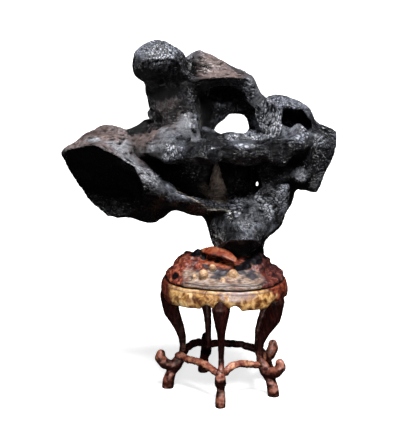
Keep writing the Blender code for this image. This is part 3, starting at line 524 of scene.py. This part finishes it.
def root_burl():
    """Waxed pine root burl: red-brown bark grain, a planed cream slope, blue-black stains and golden knots.

    What is burnt has lost its wax and its shine, and so has what is painted black as painted shade, under the leaf,
    in the crevices and in the groove.
    """
    material, tree, shader = new_finish("root_burl", 1.5, 0.5)
    place, masks = read_masks(tree, "cream", "stain", "knot", "char", "lip", "dark_side")
    figure = add_node(
        tree, "TexNoise",
        {"Vector": place, "Scale": per_mm(7), "Detail": 5.0, "Roughness": 0.65, "Distortion": 0.8},
    )
    # The real grain is about a millimetre wide, drawn here at two and a half so that it shows
    level = add_node(tree, "Mapping", {"Vector": place, "Scale": (0.35, 1.0, 1.0)})
    grain = add_node(tree, "TexNoise", {"Vector": level, "Scale": per_mm(2.5), "Detail": 3.0, "Roughness": 0.6})
    bark = [(0.32, "#1c0806"), (0.44, "#4a1a12"), (0.54, "#7c3524"), (0.64, "#a5674a")]
    colour = add_node(tree, "ValToRGB", {"Fac": figure}, stops=bark)
    for name, pattern, stops in (
        ("dark_side", figure, [(0.35, "#160a0a"), (0.5, "#40191a"), (0.62, "#6e3527"), (0.74, "#937062")]),
        ("cream", grain, [(0.3, "#463a3c"), (0.43, "#6f5a50"), (0.55, "#96806c"), (0.68, "#948e97")]),
        ("stain", figure, [(0.4, "#0f0d12"), (0.62, "#3a343b")]),
        ("lip", figure, [(0.36, "#611a0d"), (0.5, "#803a1c"), (0.64, "#946042")]),
        ("knot", grain, [(0.35, "#8f6540"), (0.6, "#c7a684")]),
    ):
        over = add_node(tree, "ValToRGB", {"Fac": pattern}, stops=stops)
        colour = add_node(tree, "Mix", {"Factor": masks[name], "A": colour, "B": over}, data_type="RGBA")
    burnt = {"Factor": masks["char"], "A": colour, "B": linear("#0b090c")}
    add_node(tree, "Mix", burnt, data_type="RGBA", to=shader.inputs["Base Color"])
    add_node(
        tree, "MapRange", {"Value": masks["char"], "To Min": 0.5, "To Max": 0.05},
        to=shader.inputs["Specular IOR Level"],
    )
    add_node(tree, "Bump", {"Height": grain, "Strength": 0.4, "Distance": 0.4 * MM}, to=shader.inputs["Normal"])
    return material


def apron_burl():
    """Golden burl veneer, rubbed with wax: cloudy figure, bird's eyes, brown bark spots and a pale worn rim.

    The figure's clouds are about 9 mm wide, and the eyes 3 to 4 mm apart.
    """
    material, tree, shader = new_finish("apron_burl", 1.5, 0.38)
    place, masks = read_masks(tree, "gold", "spot", "rim", "pale", "shade")
    figure = add_node(
        tree, "TexNoise",
        {"Vector": place, "Scale": per_mm(9), "Detail": 5.0, "Roughness": 0.6, "Distortion": 1.0},
    )
    eyes = add_node(tree, "TexVoronoi", {"Vector": place, "Scale": per_mm(3.4), "Randomness": 1.0}, out="Distance")
    dots = add_node(
        tree, "MapRange", {"Value": eyes, "From Min": 0.12, "From Max": 0.3, "To Min": 1.0, "To Max": 0.0}
    )
    colour, brown, bark = (
        add_node(tree, "ValToRGB", {"Fac": figure}, stops=stops)
        for stops in (
            [(0.34, "#5e361a"), (0.44, "#9c6e3d"), (0.54, "#c49c63"), (0.64, "#d0b48a")],
            [(0.35, "#2a0e0b"), (0.5, "#5a2418"), (0.65, "#8f4630")],
            [(0.4, "#43200f"), (0.6, "#8a5a34")],
        )
    )
    dotted, worn, spotted, rim = (
        add_node(tree, "Math", {0: mask, 1: share}, operation="MULTIPLY")
        for mask, share in (
            (dots, 0.25), (masks["pale"], 0.88), (masks["spot"], 0.88), (masks["rim"], masks["gold"])
        )
    )
    # The pale share is a painted highlight over the groove and a pale patch
    for share, over in ((dotted, linear("#5e3517")), (worn, linear("#8c7a7c")), (spotted, bark)):
        colour = add_node(tree, "Mix", {"Factor": share, "A": colour, "B": over}, data_type="RGBA")
    # The golden veneer ends towards the sides, where the brown one begins
    colour = add_node(tree, "Mix", {"Factor": masks["gold"], "A": brown, "B": colour}, data_type="RGBA")
    for share, over in ((rim, "#b08c62"), (masks["shade"], "#1c0f0b")):
        colour = add_node(tree, "Mix", {"Factor": share, "A": colour, "B": linear(over)}, data_type="RGBA")
    tree.links.new(colour, shader.inputs["Base Color"])
    add_node(tree, "Bump", {"Height": figure, "Strength": 0.3, "Distance": 0.5 * MM}, to=shader.inputs["Normal"])
    return material


def rosewood(name, lightest):
    """Old rosewood under wax: near-black maroon with long pores, worn to salmon where hands and feet rub, and painted
    salmon as painted light where it faces up and to the front.

    Worn wood shines more than the old dark wax, and so does what is painted lit.
    """
    material, tree, shader = new_finish(name, 1.5, 0.42)
    place, masks = read_masks(tree, "worn")
    # Real pores are a fifth of a millimetre wide, drawn here as streaks of two so that they show
    lengthwise = add_node(tree, "Mapping", {"Vector": place, "Scale": (1.0, 1.0, 0.16)})
    grain = add_node(
        tree, "TexNoise",
        {"Vector": lengthwise, "Scale": per_mm(2.2), "Detail": 4.0, "Roughness": 0.65, "Distortion": 0.5},
    )
    patches = add_node(tree, "TexNoise", {"Vector": place, "Scale": per_mm(9), "Detail": 3.0, "Roughness": 0.6})
    dark, rubbed = (
        add_node(tree, "ValToRGB", {"Fac": pattern}, stops=stops)
        for pattern, stops in (
            (grain, [(0.35, "#0d0504"), (0.5, "#1c0908"), (0.68, "#3a140f")]),
            (patches, [(0.35, "#5e291f"), (0.5, "#8c5442"), (0.65, lightest)]),
        )
    )
    # The salmon wood goes where the wood is worn, and where light is painted on it
    wood = {"Factor": masks["worn"], "A": dark, "B": rubbed}
    add_node(tree, "Mix", wood, data_type="RGBA", to=shader.inputs["Base Color"])
    sheen = {"Value": masks["worn"], "From Max": 0.6, "To Min": 0.1, "To Max": 0.45}
    add_node(tree, "MapRange", sheen, to=shader.inputs["Specular IOR Level"])
    add_node(tree, "Bump", {"Height": grain, "Strength": 0.35, "Distance": 0.3 * MM}, to=shader.inputs["Normal"])
    return material


# Forms: skins stretched over balls, smoothed and joined


def add_skin(whole, balls):
    """Adds the convex skin round some balls, given in millimetres, to a bmesh."""
    skin = bmesh.new()
    # The fewer the balls, the more of each one shows
    finer = {1: 4, 2: 3}.get(len(balls), 2)
    for x, y, z, radius in balls:
        centre = Matrix.Translation(Vector((x, y, z)) * MM)
        bmesh.ops.create_icosphere(skin, subdivisions=finer, radius=radius * MM, matrix=centre)
    bmesh.ops.delete(skin, geom=skin.edges[:], context="EDGES_FACES")
    hull = bmesh.ops.convex_hull(skin, input=skin.verts[:])
    inside = [item for item in hull["geom_interior"] if isinstance(item, bmesh.types.BMVert)]
    bmesh.ops.delete(skin, geom=inside, context="VERTS")
    bmesh.ops.recalc_face_normals(skin, faces=skin.faces[:])
    mesh = bpy.data.meshes.new("skin")
    skin.to_mesh(mesh)
    skin.free()
    whole.from_mesh(mesh)
    bpy.data.meshes.remove(mesh)


def chain_links(balls):
    return [balls[i : i + 2] for i in range(len(balls) - 1)]


def skins_object(name, groups, voxel=0, smooth=0, helper=False):
    """The skins round some groups of balls. A helper isn't shown: it only cuts another piece, or adds to it."""
    whole = bmesh.new()
    for balls in groups:
        add_skin(whole, balls)
    obj = object_from(name, whole)
    obj.hide_render = helper
    if voxel:
        add_remesh(obj, voxel)
    if smooth:
        add_smooth(obj, smooth)
    return obj


def add_remesh(obj, voxel):
    set_up(obj.modifiers.new("Remesh", "REMESH"), mode="VOXEL", voxel_size=voxel * MM, use_smooth_shade=True)


def add_smooth(obj, times):
    set_up(obj.modifiers.new("Smooth", "SMOOTH"), factor=0.5, iterations=times)


def add_boolean(obj, other, operation):
    set_up(obj.modifiers.new("Boolean", "BOOLEAN"), operation=operation, object=other, solver="EXACT")


def add_displace(obj, direction, strength, texture):
    set_up(
        obj.modifiers.new("Displace", "DISPLACE"),
        texture=texture, texture_coords="LOCAL", direction=direction, strength=strength * MM, mid_level=0.5,
    )


def settle(obj):
    """Applies the object's modifiers."""
    bpy.context.view_layer.update()
    graph = bpy.context.evaluated_depsgraph_get()
    mesh = bpy.data.meshes.new_from_object(obj.evaluated_get(graph))
    mesh.name = obj.name
    obj.modifiers.clear()
    obj.data = mesh


def discard(*objs):
    for obj in objs:
        bpy.data.objects.remove(obj)


# Meshes as arrays, for relief and for painted masks


def read_points(obj, what):
    """A row of three numbers for each point: its place ("co") in metres, or its facing ("normal")."""
    flat = np.empty(len(obj.data.vertices) * 3, np.float32)
    obj.data.vertices.foreach_get(what, flat)
    return flat.reshape(-1, 3).astype(float)


def points_of(obj):
    """The object's points in millimetres."""
    return read_points(obj, "co") / MM


def normals_of(obj):
    return read_points(obj, "normal")


def move_points(obj, points):
    obj.data.vertices.foreach_set("co", (points * MM).astype(np.float32).ravel())
    obj.data.update()


def push_out(obj, points, shift):
    """Moves the points along their normals by as many millimetres as shift says for each."""
    move_points(obj, points + normals_of(obj) * shift[:, None])


def paint_masks(obj, **masks):
    """Keeps a number for each point under each name, which the finishes read."""
    for name, values in masks.items():
        attribute = obj.data.attributes.new(name, "FLOAT", "POINT")
        attribute.data.foreach_set("value", np.clip(values, 0, 1).astype(np.float32))


def near(points, spots):
    """How near the points are to some spots (x, y, z, radius): 1 at a spot's middle, 0 past its radius."""
    found = np.zeros(len(points))
    for x, y, z, radius in spots:
        away = np.linalg.norm(points - (x, y, z), axis=1) / radius
        found = np.maximum(found, np.clip(1 - away * away, 0, 1))
    return found


def fade(values, start, end):
    """0 at start, 1 at end, and smooth between."""
    share = np.clip((values - start) / (end - start), 0, 1)
    return share * share * (3 - 2 * share)


def ridged(points, size, octaves=3, stretch=(1, 1, 1), seed=0.0):
    """Ridged noise with cells of this many millimetres, 0 in the creases and 1 on the crests."""
    scaled = points / (np.array(stretch) * size) + seed
    fineness, spacing, offset, gain = 0.9, 2.1, 1.0, 2.0
    values = [noise.ridged_multi_fractal(Vector(p), fineness, spacing, octaves, offset, gain) for p in scaled]
    values = np.array(values)
    low, high = np.percentile(values, (2, 98))
    return np.clip((values - low) / (high - low), 0, 1)


def cloudy(points, size, seed=0.0):
    """Soft noise with cells of this many millimetres, from 0 to 1."""
    scaled = points / size + seed
    fineness, spacing, octaves = 0.8, 2.0, 2
    return np.array([noise.fractal(Vector(p), fineness, spacing, octaves) for p in scaled]) * 0.5 + 0.5


def bent(points, reach, size):
    """The points pushed about by noise, so that patterns read from them meander."""
    moved = [noise.noise_vector(Vector(p)) for p in points / size]
    return points + reach * np.array([tuple(v) for v in moved])


def hollowness(obj, rounds):
    """How far each point lies below the surface round it, in millimetres; crests are negative."""
    start = points_of(obj)
    ends = np.empty(len(obj.data.edges) * 2, np.int32)
    obj.data.edges.foreach_get("vertices", ends)
    a, b = ends.reshape(-1, 2).T
    count = np.bincount(np.concatenate([a, b]), minlength=len(start))[:, None]
    soft = start.copy()
    for _ in range(rounds):
        total = np.zeros_like(soft)
        for axis in range(3):
            total[:, axis] = np.bincount(a, soft[b, axis], len(soft)) + np.bincount(b, soft[a, axis], len(soft))
        soft = 0.5 * soft + 0.5 * total / count
    return ((soft - start) * normals_of(obj)).sum(axis=1)


def faces_round(mesh):
    """The mesh's four-sided faces as rows of point numbers, and the four faces that share an edge with each."""
    corners = np.empty(len(mesh.loops), np.int32)
    mesh.loops.foreach_get("vertex_index", corners)
    faces = corners.reshape(-1, 4)
    edges = np.sort(np.stack([faces, np.roll(faces, -1, axis=1)], axis=2).reshape(-1, 2), axis=1)
    order = np.lexsort((edges[:, 1], edges[:, 0]))
    owner = np.repeat(np.arange(len(faces)), 4)
    beside = np.empty(len(edges), np.int64)
    pairs = order.reshape(-1, 2)
    beside[pairs[:, 0]] = owner[pairs[:, 1]]
    beside[pairs[:, 1]] = owner[pairs[:, 0]]
    return faces, beside.reshape(-1, 4)


def face_normals(points, faces):
    across = np.cross(points[faces[:, 2]] - points[faces[:, 0]], points[faces[:, 3]] - points[faces[:, 1]])
    return across / np.maximum(np.linalg.norm(across, axis=1, keepdims=True), 1e-12)


def make_facets(obj, rounds, bend, follow_rounds=25):
    """Draws the surface into broad faces that meet in firm edges, as water leaves a hard stone.

    The facing of each small face is evened with its neighbours', less so where the surface bends more than bend,
    and the points then follow the evened facings.
    """
    points = points_of(obj)
    faces, beside = faces_round(obj.data)
    facing = face_normals(points, faces)
    for _ in range(rounds):
        total = facing.copy()
        for side in range(4):
            other = facing[beside[:, side]]
            apart = ((facing - other) ** 2).sum(axis=1)
            total += other * np.exp(-apart / (2 * bend * bend))[:, None]
        facing = total / np.linalg.norm(total, axis=1, keepdims=True)
    share = np.bincount(faces.ravel(), minlength=len(points))[:, None]
    for _ in range(follow_rounds):
        middles = points[faces].mean(axis=1)
        moved = np.zeros_like(points)
        for corner in range(4):
            away = ((middles - points[faces[:, corner]]) * facing).sum(axis=1)
            for axis in range(3):
                moved[:, axis] += np.bincount(faces[:, corner], away * facing[:, axis], len(points))
        points = points + moved / share
    move_points(obj, points)


def cut_flats(obj, flats):
    """Pares the surface back to planes. Each flat is three points of its plane, which faces the front, and the
    middle and radius of the ball that it works in."""
    points = points_of(obj)
    for first, second, third, (x, y, z, radius) in flats.values():
        facing = Vector(np.subtract(second, first)).cross(Vector(np.subtract(third, first))).normalized()
        facing = np.array(facing if facing.y < 0 else -facing)
        away = np.linalg.norm(points - (x, y, z), axis=1) / radius
        hold = np.clip((1 - away) / 0.25, 0, 1)  # it fades over the outer quarter
        proud = np.clip((points - first) @ facing, 0, None)
        points = points - facing * (proud * hold)[:, None]
    move_points(obj, points)


def swell(obj, swells):
    """Restores the thickness that smoothing took, and shifts the outline as seen from the front."""
    points = points_of(obj) + SMOOTHED_AWAY * normals_of(obj)
    moved = points.copy()
    for x, z, radius, across, up in swells:
        away = np.hypot(points[:, 0] - x, points[:, 2] - z) / radius
        moved += fade(away, 1, 0.1)[:, None] * (across, 0, up)
    move_points(obj, moved)


# The stone


def make_stone():
    hollows = skins_object("hollows", HOLLOWS.values(), STONE_DRAFT_VOXEL, smooth=5, helper=True)
    ridges = skins_object("ridges", RIDGES.values(), RIDGE_DRAFT_VOXEL, smooth=3, helper=True)
    stone = skins_object("dark_stone", LOBES.values(), STONE_DRAFT_VOXEL, smooth=8)
    add_boolean(stone, hollows, "DIFFERENCE")
    add_boolean(stone, ridges, "UNION")
    add_remesh(stone, STONE_VOXEL)
    add_smooth(stone, 4)
    drift = set_up(bpy.data.textures.new("drift", "CLOUDS"), noise_scale=42 * MM, noise_depth=1, cloud_type="COLOR")
    creases = set_up(
        bpy.data.textures.new("creases", "MUSGRAVE"),
        noise_scale=26 * MM, musgrave_type="RIDGED_MULTIFRACTAL", octaves=3, noise_intensity=0.55,
    )
    add_displace(stone, "RGB_TO_XYZ", 9, drift)
    add_displace(stone, "NORMAL", 2.4, creases)
    settle(stone)
    discard(hollows, ridges)
    cut_flats(stone, FLATS)
    make_facets(stone, rounds=30, bend=0.12)
    swell(stone, SWELLS)
    wrinkle_stone(stone)
    return stone


def vein_mask(points):
    """1 on the calcite vein, and 0 a millimetre and a half beside it."""
    x, height = points[:, 0], points[:, 2] + points[:, 1] / 4
    away = np.full(len(points), np.inf)
    for (x0, z0), (x1, z1) in zip(VEIN, VEIN[1:]):
        run, rise = x1 - x0, z1 - z0
        along = np.clip(((x - x0) * run + (height - z0) * rise) / (run**2 + rise**2), 0, 1)
        away = np.minimum(away, np.hypot(x - x0 - along * run, height - z0 - along * rise))
    return fade(away, 1.3, 0.2)


def wrinkle_stone(stone):
    """Cuts the fine, crossing wrinkles that water leaves, and marks where dust and brown weathering lie, and where
    light, highlights and shade are painted.
    """
    points = points_of(stone)
    paths = bent(points, reach=6, size=20)
    steep = ridged(paths, WRINKLE_WIDTH, stretch=(1, 1, 2.6))
    level = ridged(paths, WRINKLE_WIDTH, stretch=(2.6, 1.4, 1), seed=9.1)
    upright = np.clip((cloudy(points, 60, seed=3.3) - 0.42) / 0.16, 0, 1)
    upright = np.clip(upright * (1 - near(points, LEVEL_SPOTS)) + near(points, UPRIGHT_SPOTS), 0, 1)
    relief = steep * upright + level * (1 - upright)
    depth = 0.8 + 1.0 * np.clip((cloudy(points, 45, seed=5.7) - 0.35) / 0.3, 0, 1)
    pinhole = fade(near(points, PINHOLE), 0.2, 0.6)
    push_out(stone, points, depth * (relief - 0.8) - PINHOLE_DEPTH * pinhole)
    facing = normals_of(stone)
    silver = near(points, SILVER_SPOTS)
    # What faces up is painted paler, as dust and as painted light; the painted shade spots take that away, and the
    # painted highlight spots add it
    dust = np.clip(facing[:, 2] * 1.5, 0, 1) ** 1.5 * (1 - fade(near(points, RUBBED_SPOTS), 0, 0.6))
    dust = np.maximum(dust, 0.9 * fade(silver, 0, 0.8))
    # The creases and hollows are painted darker, as painted shade, and the crests that stand out paler, as painted
    # highlight
    dust = dust * (0.25 + 0.85 * relief) + np.clip(-hollowness(stone, 12) * 0.5, -0.25, 0.25)
    dust = np.maximum(1.25 * np.clip(dust, 0, 1) ** 1.35, 0.16 * near(points, BROWN_SPOTS) * relief)
    weathered = near(points, WARM_SPOTS + BROWN_SPOTS) * 1.5
    fin = near(points, FIN_SPOTS) * fade(points[:, 1], 15, 9)
    # The pinhole is painted dark inside, as painted shade
    paint_masks(
        stone,
        silver=fade(silver, 0.05, 0.9) * (0.4 + 0.7 * relief),
        dust=dust * (1 - pinhole),
        vein=vein_mask(points) * fade(facing[:, 1], 0.1, -0.2),
        upright=upright,
        warm=weathered * (0.4 + 0.9 * cloudy(points, 16, seed=8.8)),
        pale=fin * (0.3 + 0.8 * relief),
    )


# The stand


def waist_radius(turn):
    """The stand's outline at the groove, for a turn in degrees."""
    turn = (turn + 180) % 360 - 180
    for (before, close), (after, far) in zip(WAIST, WAIST[1:]):
        if before <= turn <= after:
            share = (turn - before) / (after - before)
            return close + (far - close) * (1 - math.cos(math.pi * share)) / 2
    return WAIST[0][1]


def point_at(turn, distance, across=0.0):
    """The plan point this far from the stand's middle at a turn in degrees, and this far to its side."""
    angle = math.radians(turn)
    x = STAND_MIDDLE_X + distance * math.sin(angle) + across * math.cos(angle)
    y = -distance * math.cos(angle) + across * math.sin(angle)
    return x, y


def apron_edge(turn):
    """Height of the apron's lower edge: a pointed notch over each leg, with a small arch on both sides of it."""
    away = min(abs((turn - leg + 180) % 360 - 180) for leg, _ in LEGS.values())
    away = math.radians(away) * (waist_radius(turn) + APRON_BULGE)
    if away < NOTCH_HALF:
        return NOTCH_HEIGHT - away
    if away < NOTCH_HALF + ARCH_WIDTH:
        return APRON_EDGE + ARCH_FOOT + ARCH_RISE * math.sin(math.pi * (away - NOTCH_HALF) / ARCH_WIDTH)
    return APRON_EDGE


def ring_mesh(name, count, section_at, closed_section, start=0):
    """Joins sections set round the stand into a closed mesh: a ring, or a disc where the sections are open.

    section_at gives a turn's section as distances outside the waist and heights.
    """
    bm = bmesh.new()
    rows = []
    for turn in (start + step * 360 / count for step in range(count)):
        section = [(*point_at(turn, waist_radius(turn) + out), height) for out, height in section_at(turn)]
        rows.append([bm.verts.new(Vector(point) * MM) for point in section])
    across = len(rows[0])
    for row, following in zip(rows, rows[1:] + rows[:1]):
        for i in range(across if closed_section else across - 1):
            j = (i + 1) % across
            bm.faces.new((row[i], row[j], following[j], following[i]))
    if not closed_section:
        bm.faces.new([row[0] for row in rows])
        bm.faces.new([row[-1] for row in rows])
    bmesh.ops.recalc_face_normals(bm, faces=bm.faces[:])
    return object_from(name, bm)


def make_mound():
    mound = ring_mesh("carved_mound", 120, lambda turn: TABLE_EDGE, closed_section=False)
    leaf = [[(*top, radius), (*bottom, radius)] for top, bottom, radius in LEAF]
    groups = [*MOUND.values(), *([*first, *second] for first, second in zip(leaf, leaf[1:]))]
    for balls in (*MOUND_CHAINS.values(), LEAF_ROOT):
        groups += chain_links(balls)
    groups += [[(x, y - KNOT_LIFT, z + KNOT_LIFT, radius * 0.9)] for x, y, z, radius in KNOTS]
    growth = skins_object("growth", groups)
    bm = bmesh.new()
    bm.from_mesh(mound.data)
    bm.from_mesh(growth.data)
    bm.to_mesh(mound.data)
    bm.free()
    pits = skins_object("pits", MOUND_HOLLOWS.values(), STAND_DRAFT_VOXEL, helper=True)
    add_remesh(mound, STAND_DRAFT_VOXEL)
    add_smooth(mound, 2)
    add_boolean(mound, pits, "DIFFERENCE")
    add_remesh(mound, MOUND_VOXEL)
    add_smooth(mound, 3)
    settle(mound)
    discard(growth, pits)
    gnarl_mound(mound)
    return mound


def gnarl_mound(mound):
    """Roughens the crags, leaves the planed slope and the knots smooth, and marks the root's colours and its painted
    shade.
    """
    points = points_of(mound)
    x, y, z = points.T
    front = fade(-y, 18, 34) * fade(np.abs(x - STAND_MIDDLE_X), 54, 38)
    knots = [(kx, ky - KNOT_LIFT, kz + KNOT_LIFT, radius * 1.2) for kx, ky, kz, radius in KNOTS]
    knot = fade(near(points, knots), 0.1, 0.35)
    leaf = near(points, LIP)
    slope = front * fade(z, 166, 156)
    smoothness = np.maximum(np.maximum(slope, knot), fade(leaf, 0, 0.2))
    lumps = 3.4 * (cloudy(points, 13, seed=4.2) - 0.5) + 1.6 * (cloudy(points, 5, seed=3.7) - 0.5)
    twigs = ridged(bent(points, reach=5, size=16), 8, octaves=2, stretch=(1.8, 1.8, 1)) - 0.7
    # A crack wanders across the front, a little above the groove
    crack = np.abs(z - (CRACK_HEIGHT + 0.9 * np.sin(x / 9) + 0.02 * x)) + 100 * (1 - fade(front, 0, 0.4))
    shift = (1 - 0.9 * smoothness) * (lumps + 1.1 * twigs)
    push_out(mound, points, shift - 0.9 * fade(crack, 1.1, 0.3))
    blotch = cloudy(points, 9, seed=1.7) - 0.5 + 0.4 * (cloudy(points, 3, seed=2.9) - 0.5)
    broad = cloudy(points, 18, seed=6.6) - 0.5
    stain = fade(1.3 * near(bent(points, reach=6, size=9), STAINS) + 0.9 * blotch, 0.05, 0.9)
    # Crevices and the groove under the mound's edge are painted black, as painted shade, on top of the burnt spots
    crevice = 0.95 * fade(hollowness(mound, 8), 0.08, 0.8) * (1 - fade(slope, 0.2, 0.8)) * (1 - knot)
    burnt = np.maximum(fade(near(points, CHAR) + 0.5 * blotch, 0.05, 0.5), fade(z, 144.2, 143.5))
    paint_masks(
        mound,
        cream=fade(slope + 0.7 * blotch + 0.8 * broad, 0.2, 0.9),
        stain=np.maximum(stain, 0.9 * fade(crack, 1.3, 0.4)),
        knot=knot * front,
        char=np.maximum(crevice, burnt),
        lip=fade(leaf, 0.1, 0.5),
        dark_side=fade(x, 25, 50) + 0.4 * fade(y, -10, 20) + 1.2 * broad,
    )


def apron_profile(turn):
    """The apron's section at a turn, as distances outside the waist and heights."""
    edge = apron_edge(turn)
    section = []
    for out, height, follow in APRON_SECTION:
        if height is None:
            height = edge + follow
        else:
            height += (edge - APRON_EDGE) * follow
        section.append((out, height))
    return section + APRON_LEDGE


def make_apron():
    apron = ring_mesh("burl_apron", 240, apron_profile, closed_section=True, start=-180)
    set_up(apron.modifiers.new("Finer", "SUBSURF"), levels=2)
    settle(apron)
    points = points_of(apron)
    x, y, height = (points - (STAND_MIDDLE_X, 0, 0)).T
    turn = np.degrees(np.arctan2(x, -y))
    outside = np.hypot(x, y) - np.array([waist_radius(t) for t in turn])
    edge = np.array([apron_edge(t) for t in turn])
    wobble = cloudy(points, 7, seed=2.4) - 0.5
    bead = -0.35 * fade(np.abs(height - RIM_GROOVE), 0.9, 0.2) * fade(outside, 0, 1)
    push_out(apron, points, (0.9 * wobble + bead) * fade(outside, 0, 1))
    # The burl's golden part ends on slanting lines at the left and at the right
    gold = fade(turn + 10 * wobble + (height - 130) * 0.3, -62, -53)
    gold *= fade(turn + 14 * wobble + (height - 125) * 0.6, 60, 53)
    spots = np.zeros(len(points))
    for spot_turn, spot_height, radius in BURL_SPOTS:
        away = np.hypot((turn - spot_turn) * 1.25, height - spot_height) / radius
        spots = np.maximum(spots, 1 - away)
    grain = cloudy(points, 3.2, seed=6.1) - 0.5
    pale_patch = fade(np.abs(turn - 14 + 20 * wobble), 20, 6) * fade(height + 8 * wobble, 128, 136)
    # Over the groove a pale line is painted as painted highlight, with painted shade under its lip and along the
    # apron's top edge
    paint_masks(
        apron,
        gold=gold,
        spot=fade(1.5 * spots + 1.4 * grain + 0.8 * wobble, 0.25, 1.0),
        rim=fade(height - edge, 1.7, 0.9) * fade(outside, 1.5, 2.6),
        pale=0.4 * fade(np.abs(height - RIM_LINE), 1.6, 0.6) + 0.9 * pale_patch,
        shade=np.maximum(fade(outside, 0.2, -0.5), fade(np.abs(height - RIM_SHADOW), 0.8, 0.2) * 0.7),
    )
    return apron


def leg_section(section, turn):
    """Four balls that give a leg its inner and outer distance and its width at one height."""
    height, inner, outer, width = section
    follow = max(0.0, min(1.0, (height - LEG_FREE_HEIGHT) / LEG_FOLLOW_SPAN))
    pull = follow * (waist_radius(turn) - LEG_WAIST)
    radius = 0.48 * min(width, outer - inner)  # nearly half, so that the thinner side is round
    balls = []
    for distance in (inner + radius, outer - radius):
        for across in (radius - width / 2, width / 2 - radius):
            balls.append((*point_at(turn, distance + pull, across), height, radius))
    return balls


def scroll_balls(turn, scroll_turn):
    angle = math.radians(scroll_turn)
    root_x, root_y = point_at(turn, SCROLL_ROOT)
    balls = []
    for height, distance, radius in SCROLL:
        out = distance - SCROLL_ROOT
        balls.append((root_x + out * math.sin(angle), root_y - out * math.cos(angle), height, radius))
    return balls


def make_leg(name, turn, scroll_turn):
    groups = []
    for sections in (SHANK, ANKLE):
        for upper, lower in zip(sections, sections[1:]):
            groups.append(leg_section(upper, turn) + leg_section(lower, turn))
    scroll = scroll_balls(turn, scroll_turn)
    leg = skins_object(name, groups + chain_links(scroll), LEG_VOXEL, smooth=5)
    settle(leg)
    points = points_of(leg)
    rubbed = scroll[2:] + [(*point_at(turn, FOOT_DISTANCE), *FOOT_RUB)]
    wear = near(points, [(x, y, z, max(radius * 2, 9)) for x, y, z, radius in rubbed])
    push_out(leg, points, 0.5 * (cloudy(points, 8, seed=3.1) - 0.5) + 0.35 * (cloudy(points, 3, seed=7.7) - 0.5))
    facing = normals_of(leg)
    # What faces up and to the front is painted paler, as painted light, on top of the wear at the scroll and foot
    lit = fade(facing[:, 2] - 0.3 * facing[:, 1] + 0.6 * (cloudy(points, 5, seed=1.1) - 0.5), 0.15, 0.7)
    # The far legs are painted darker, as painted shade, and get less wear than the near ones
    behind = fade(points[:, 1], 12, 30) * fade(points[:, 0], 56, 44)
    low = fade(points[:, 2], 78, 48)
    mottle = 0.72 + 2.6 * (cloudy(points, 6, seed=4.8) - 0.5)
    paint_masks(leg, worn=(wear * (0.2 + 0.9 * lit) + (0.12 + 0.55 * low) * lit) * mottle * (1 - 0.8 * behind))
    return leg


def make_stretcher(name, points):
    balls = [(x, y, z, STRETCHER_RADIUS) for x, y, z in points]
    stretcher = skins_object(name, chain_links(balls), LEG_VOXEL, smooth=12)
    settle(stretcher)
    points = points_of(stretcher)
    knobs = 2.2 * (cloudy(points, 7, seed=5.3) - 0.5) + 0.8 * (cloudy(points, 2.6, seed=0.4) - 0.5)
    push_out(stretcher, points, knobs)
    facing = normals_of(stretcher)
    # The front stretchers are painted salmon where they face up and to the front, as painted light, and the back ones
    # stay dark, as painted shade
    lit = fade(facing[:, 2] - 0.5 * facing[:, 1] + 0.8 * (cloudy(points, 5, seed=1.9) - 0.5), -0.3, 0.5)
    paint_masks(stretcher, worn=lit * fade(points[:, 1], 8, -4))
    return stretcher


# Putting the pieces in the frame


def settle_in_frame(piece, node, finish, sharp=60):
    """Moves a finished piece from its drawing to the frame, where it stands for a node."""
    lowest, highest = (np.array(corner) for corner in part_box(node))
    places = points_of(piece) * MM - np.array((*BOX_MIDDLE, 0)) * MM
    move_points(piece, np.clip(places, lowest, highest) / MM)
    piece.data.materials.clear()
    piece.data.materials.append(finish)
    piece.data.shade_smooth()
    piece.data.set_sharp_from_angle(angle=math.radians(sharp))
    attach(piece, "root")
    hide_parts(node)


def main():
    make_camera()
    make_studio()
    settle_in_frame(make_stone(), "stone", black_limestone())
    settle_in_frame(make_mound(), "stand_top", root_burl())
    settle_in_frame(make_apron(), "apron", apron_burl(), sharp=50)
    leg_wood = rosewood("dark_rosewood", "#a5766a")
    for name, (turn, scroll_turn) in LEGS.items():
        settle_in_frame(make_leg("carved_" + name, turn, scroll_turn), name, leg_wood)
    branch_wood = rosewood("rubbed_rosewood", "#bd8768")
    for name, points in STRETCHERS.items():
        settle_in_frame(make_stretcher("carved_" + name, points), name, branch_wood)


main()
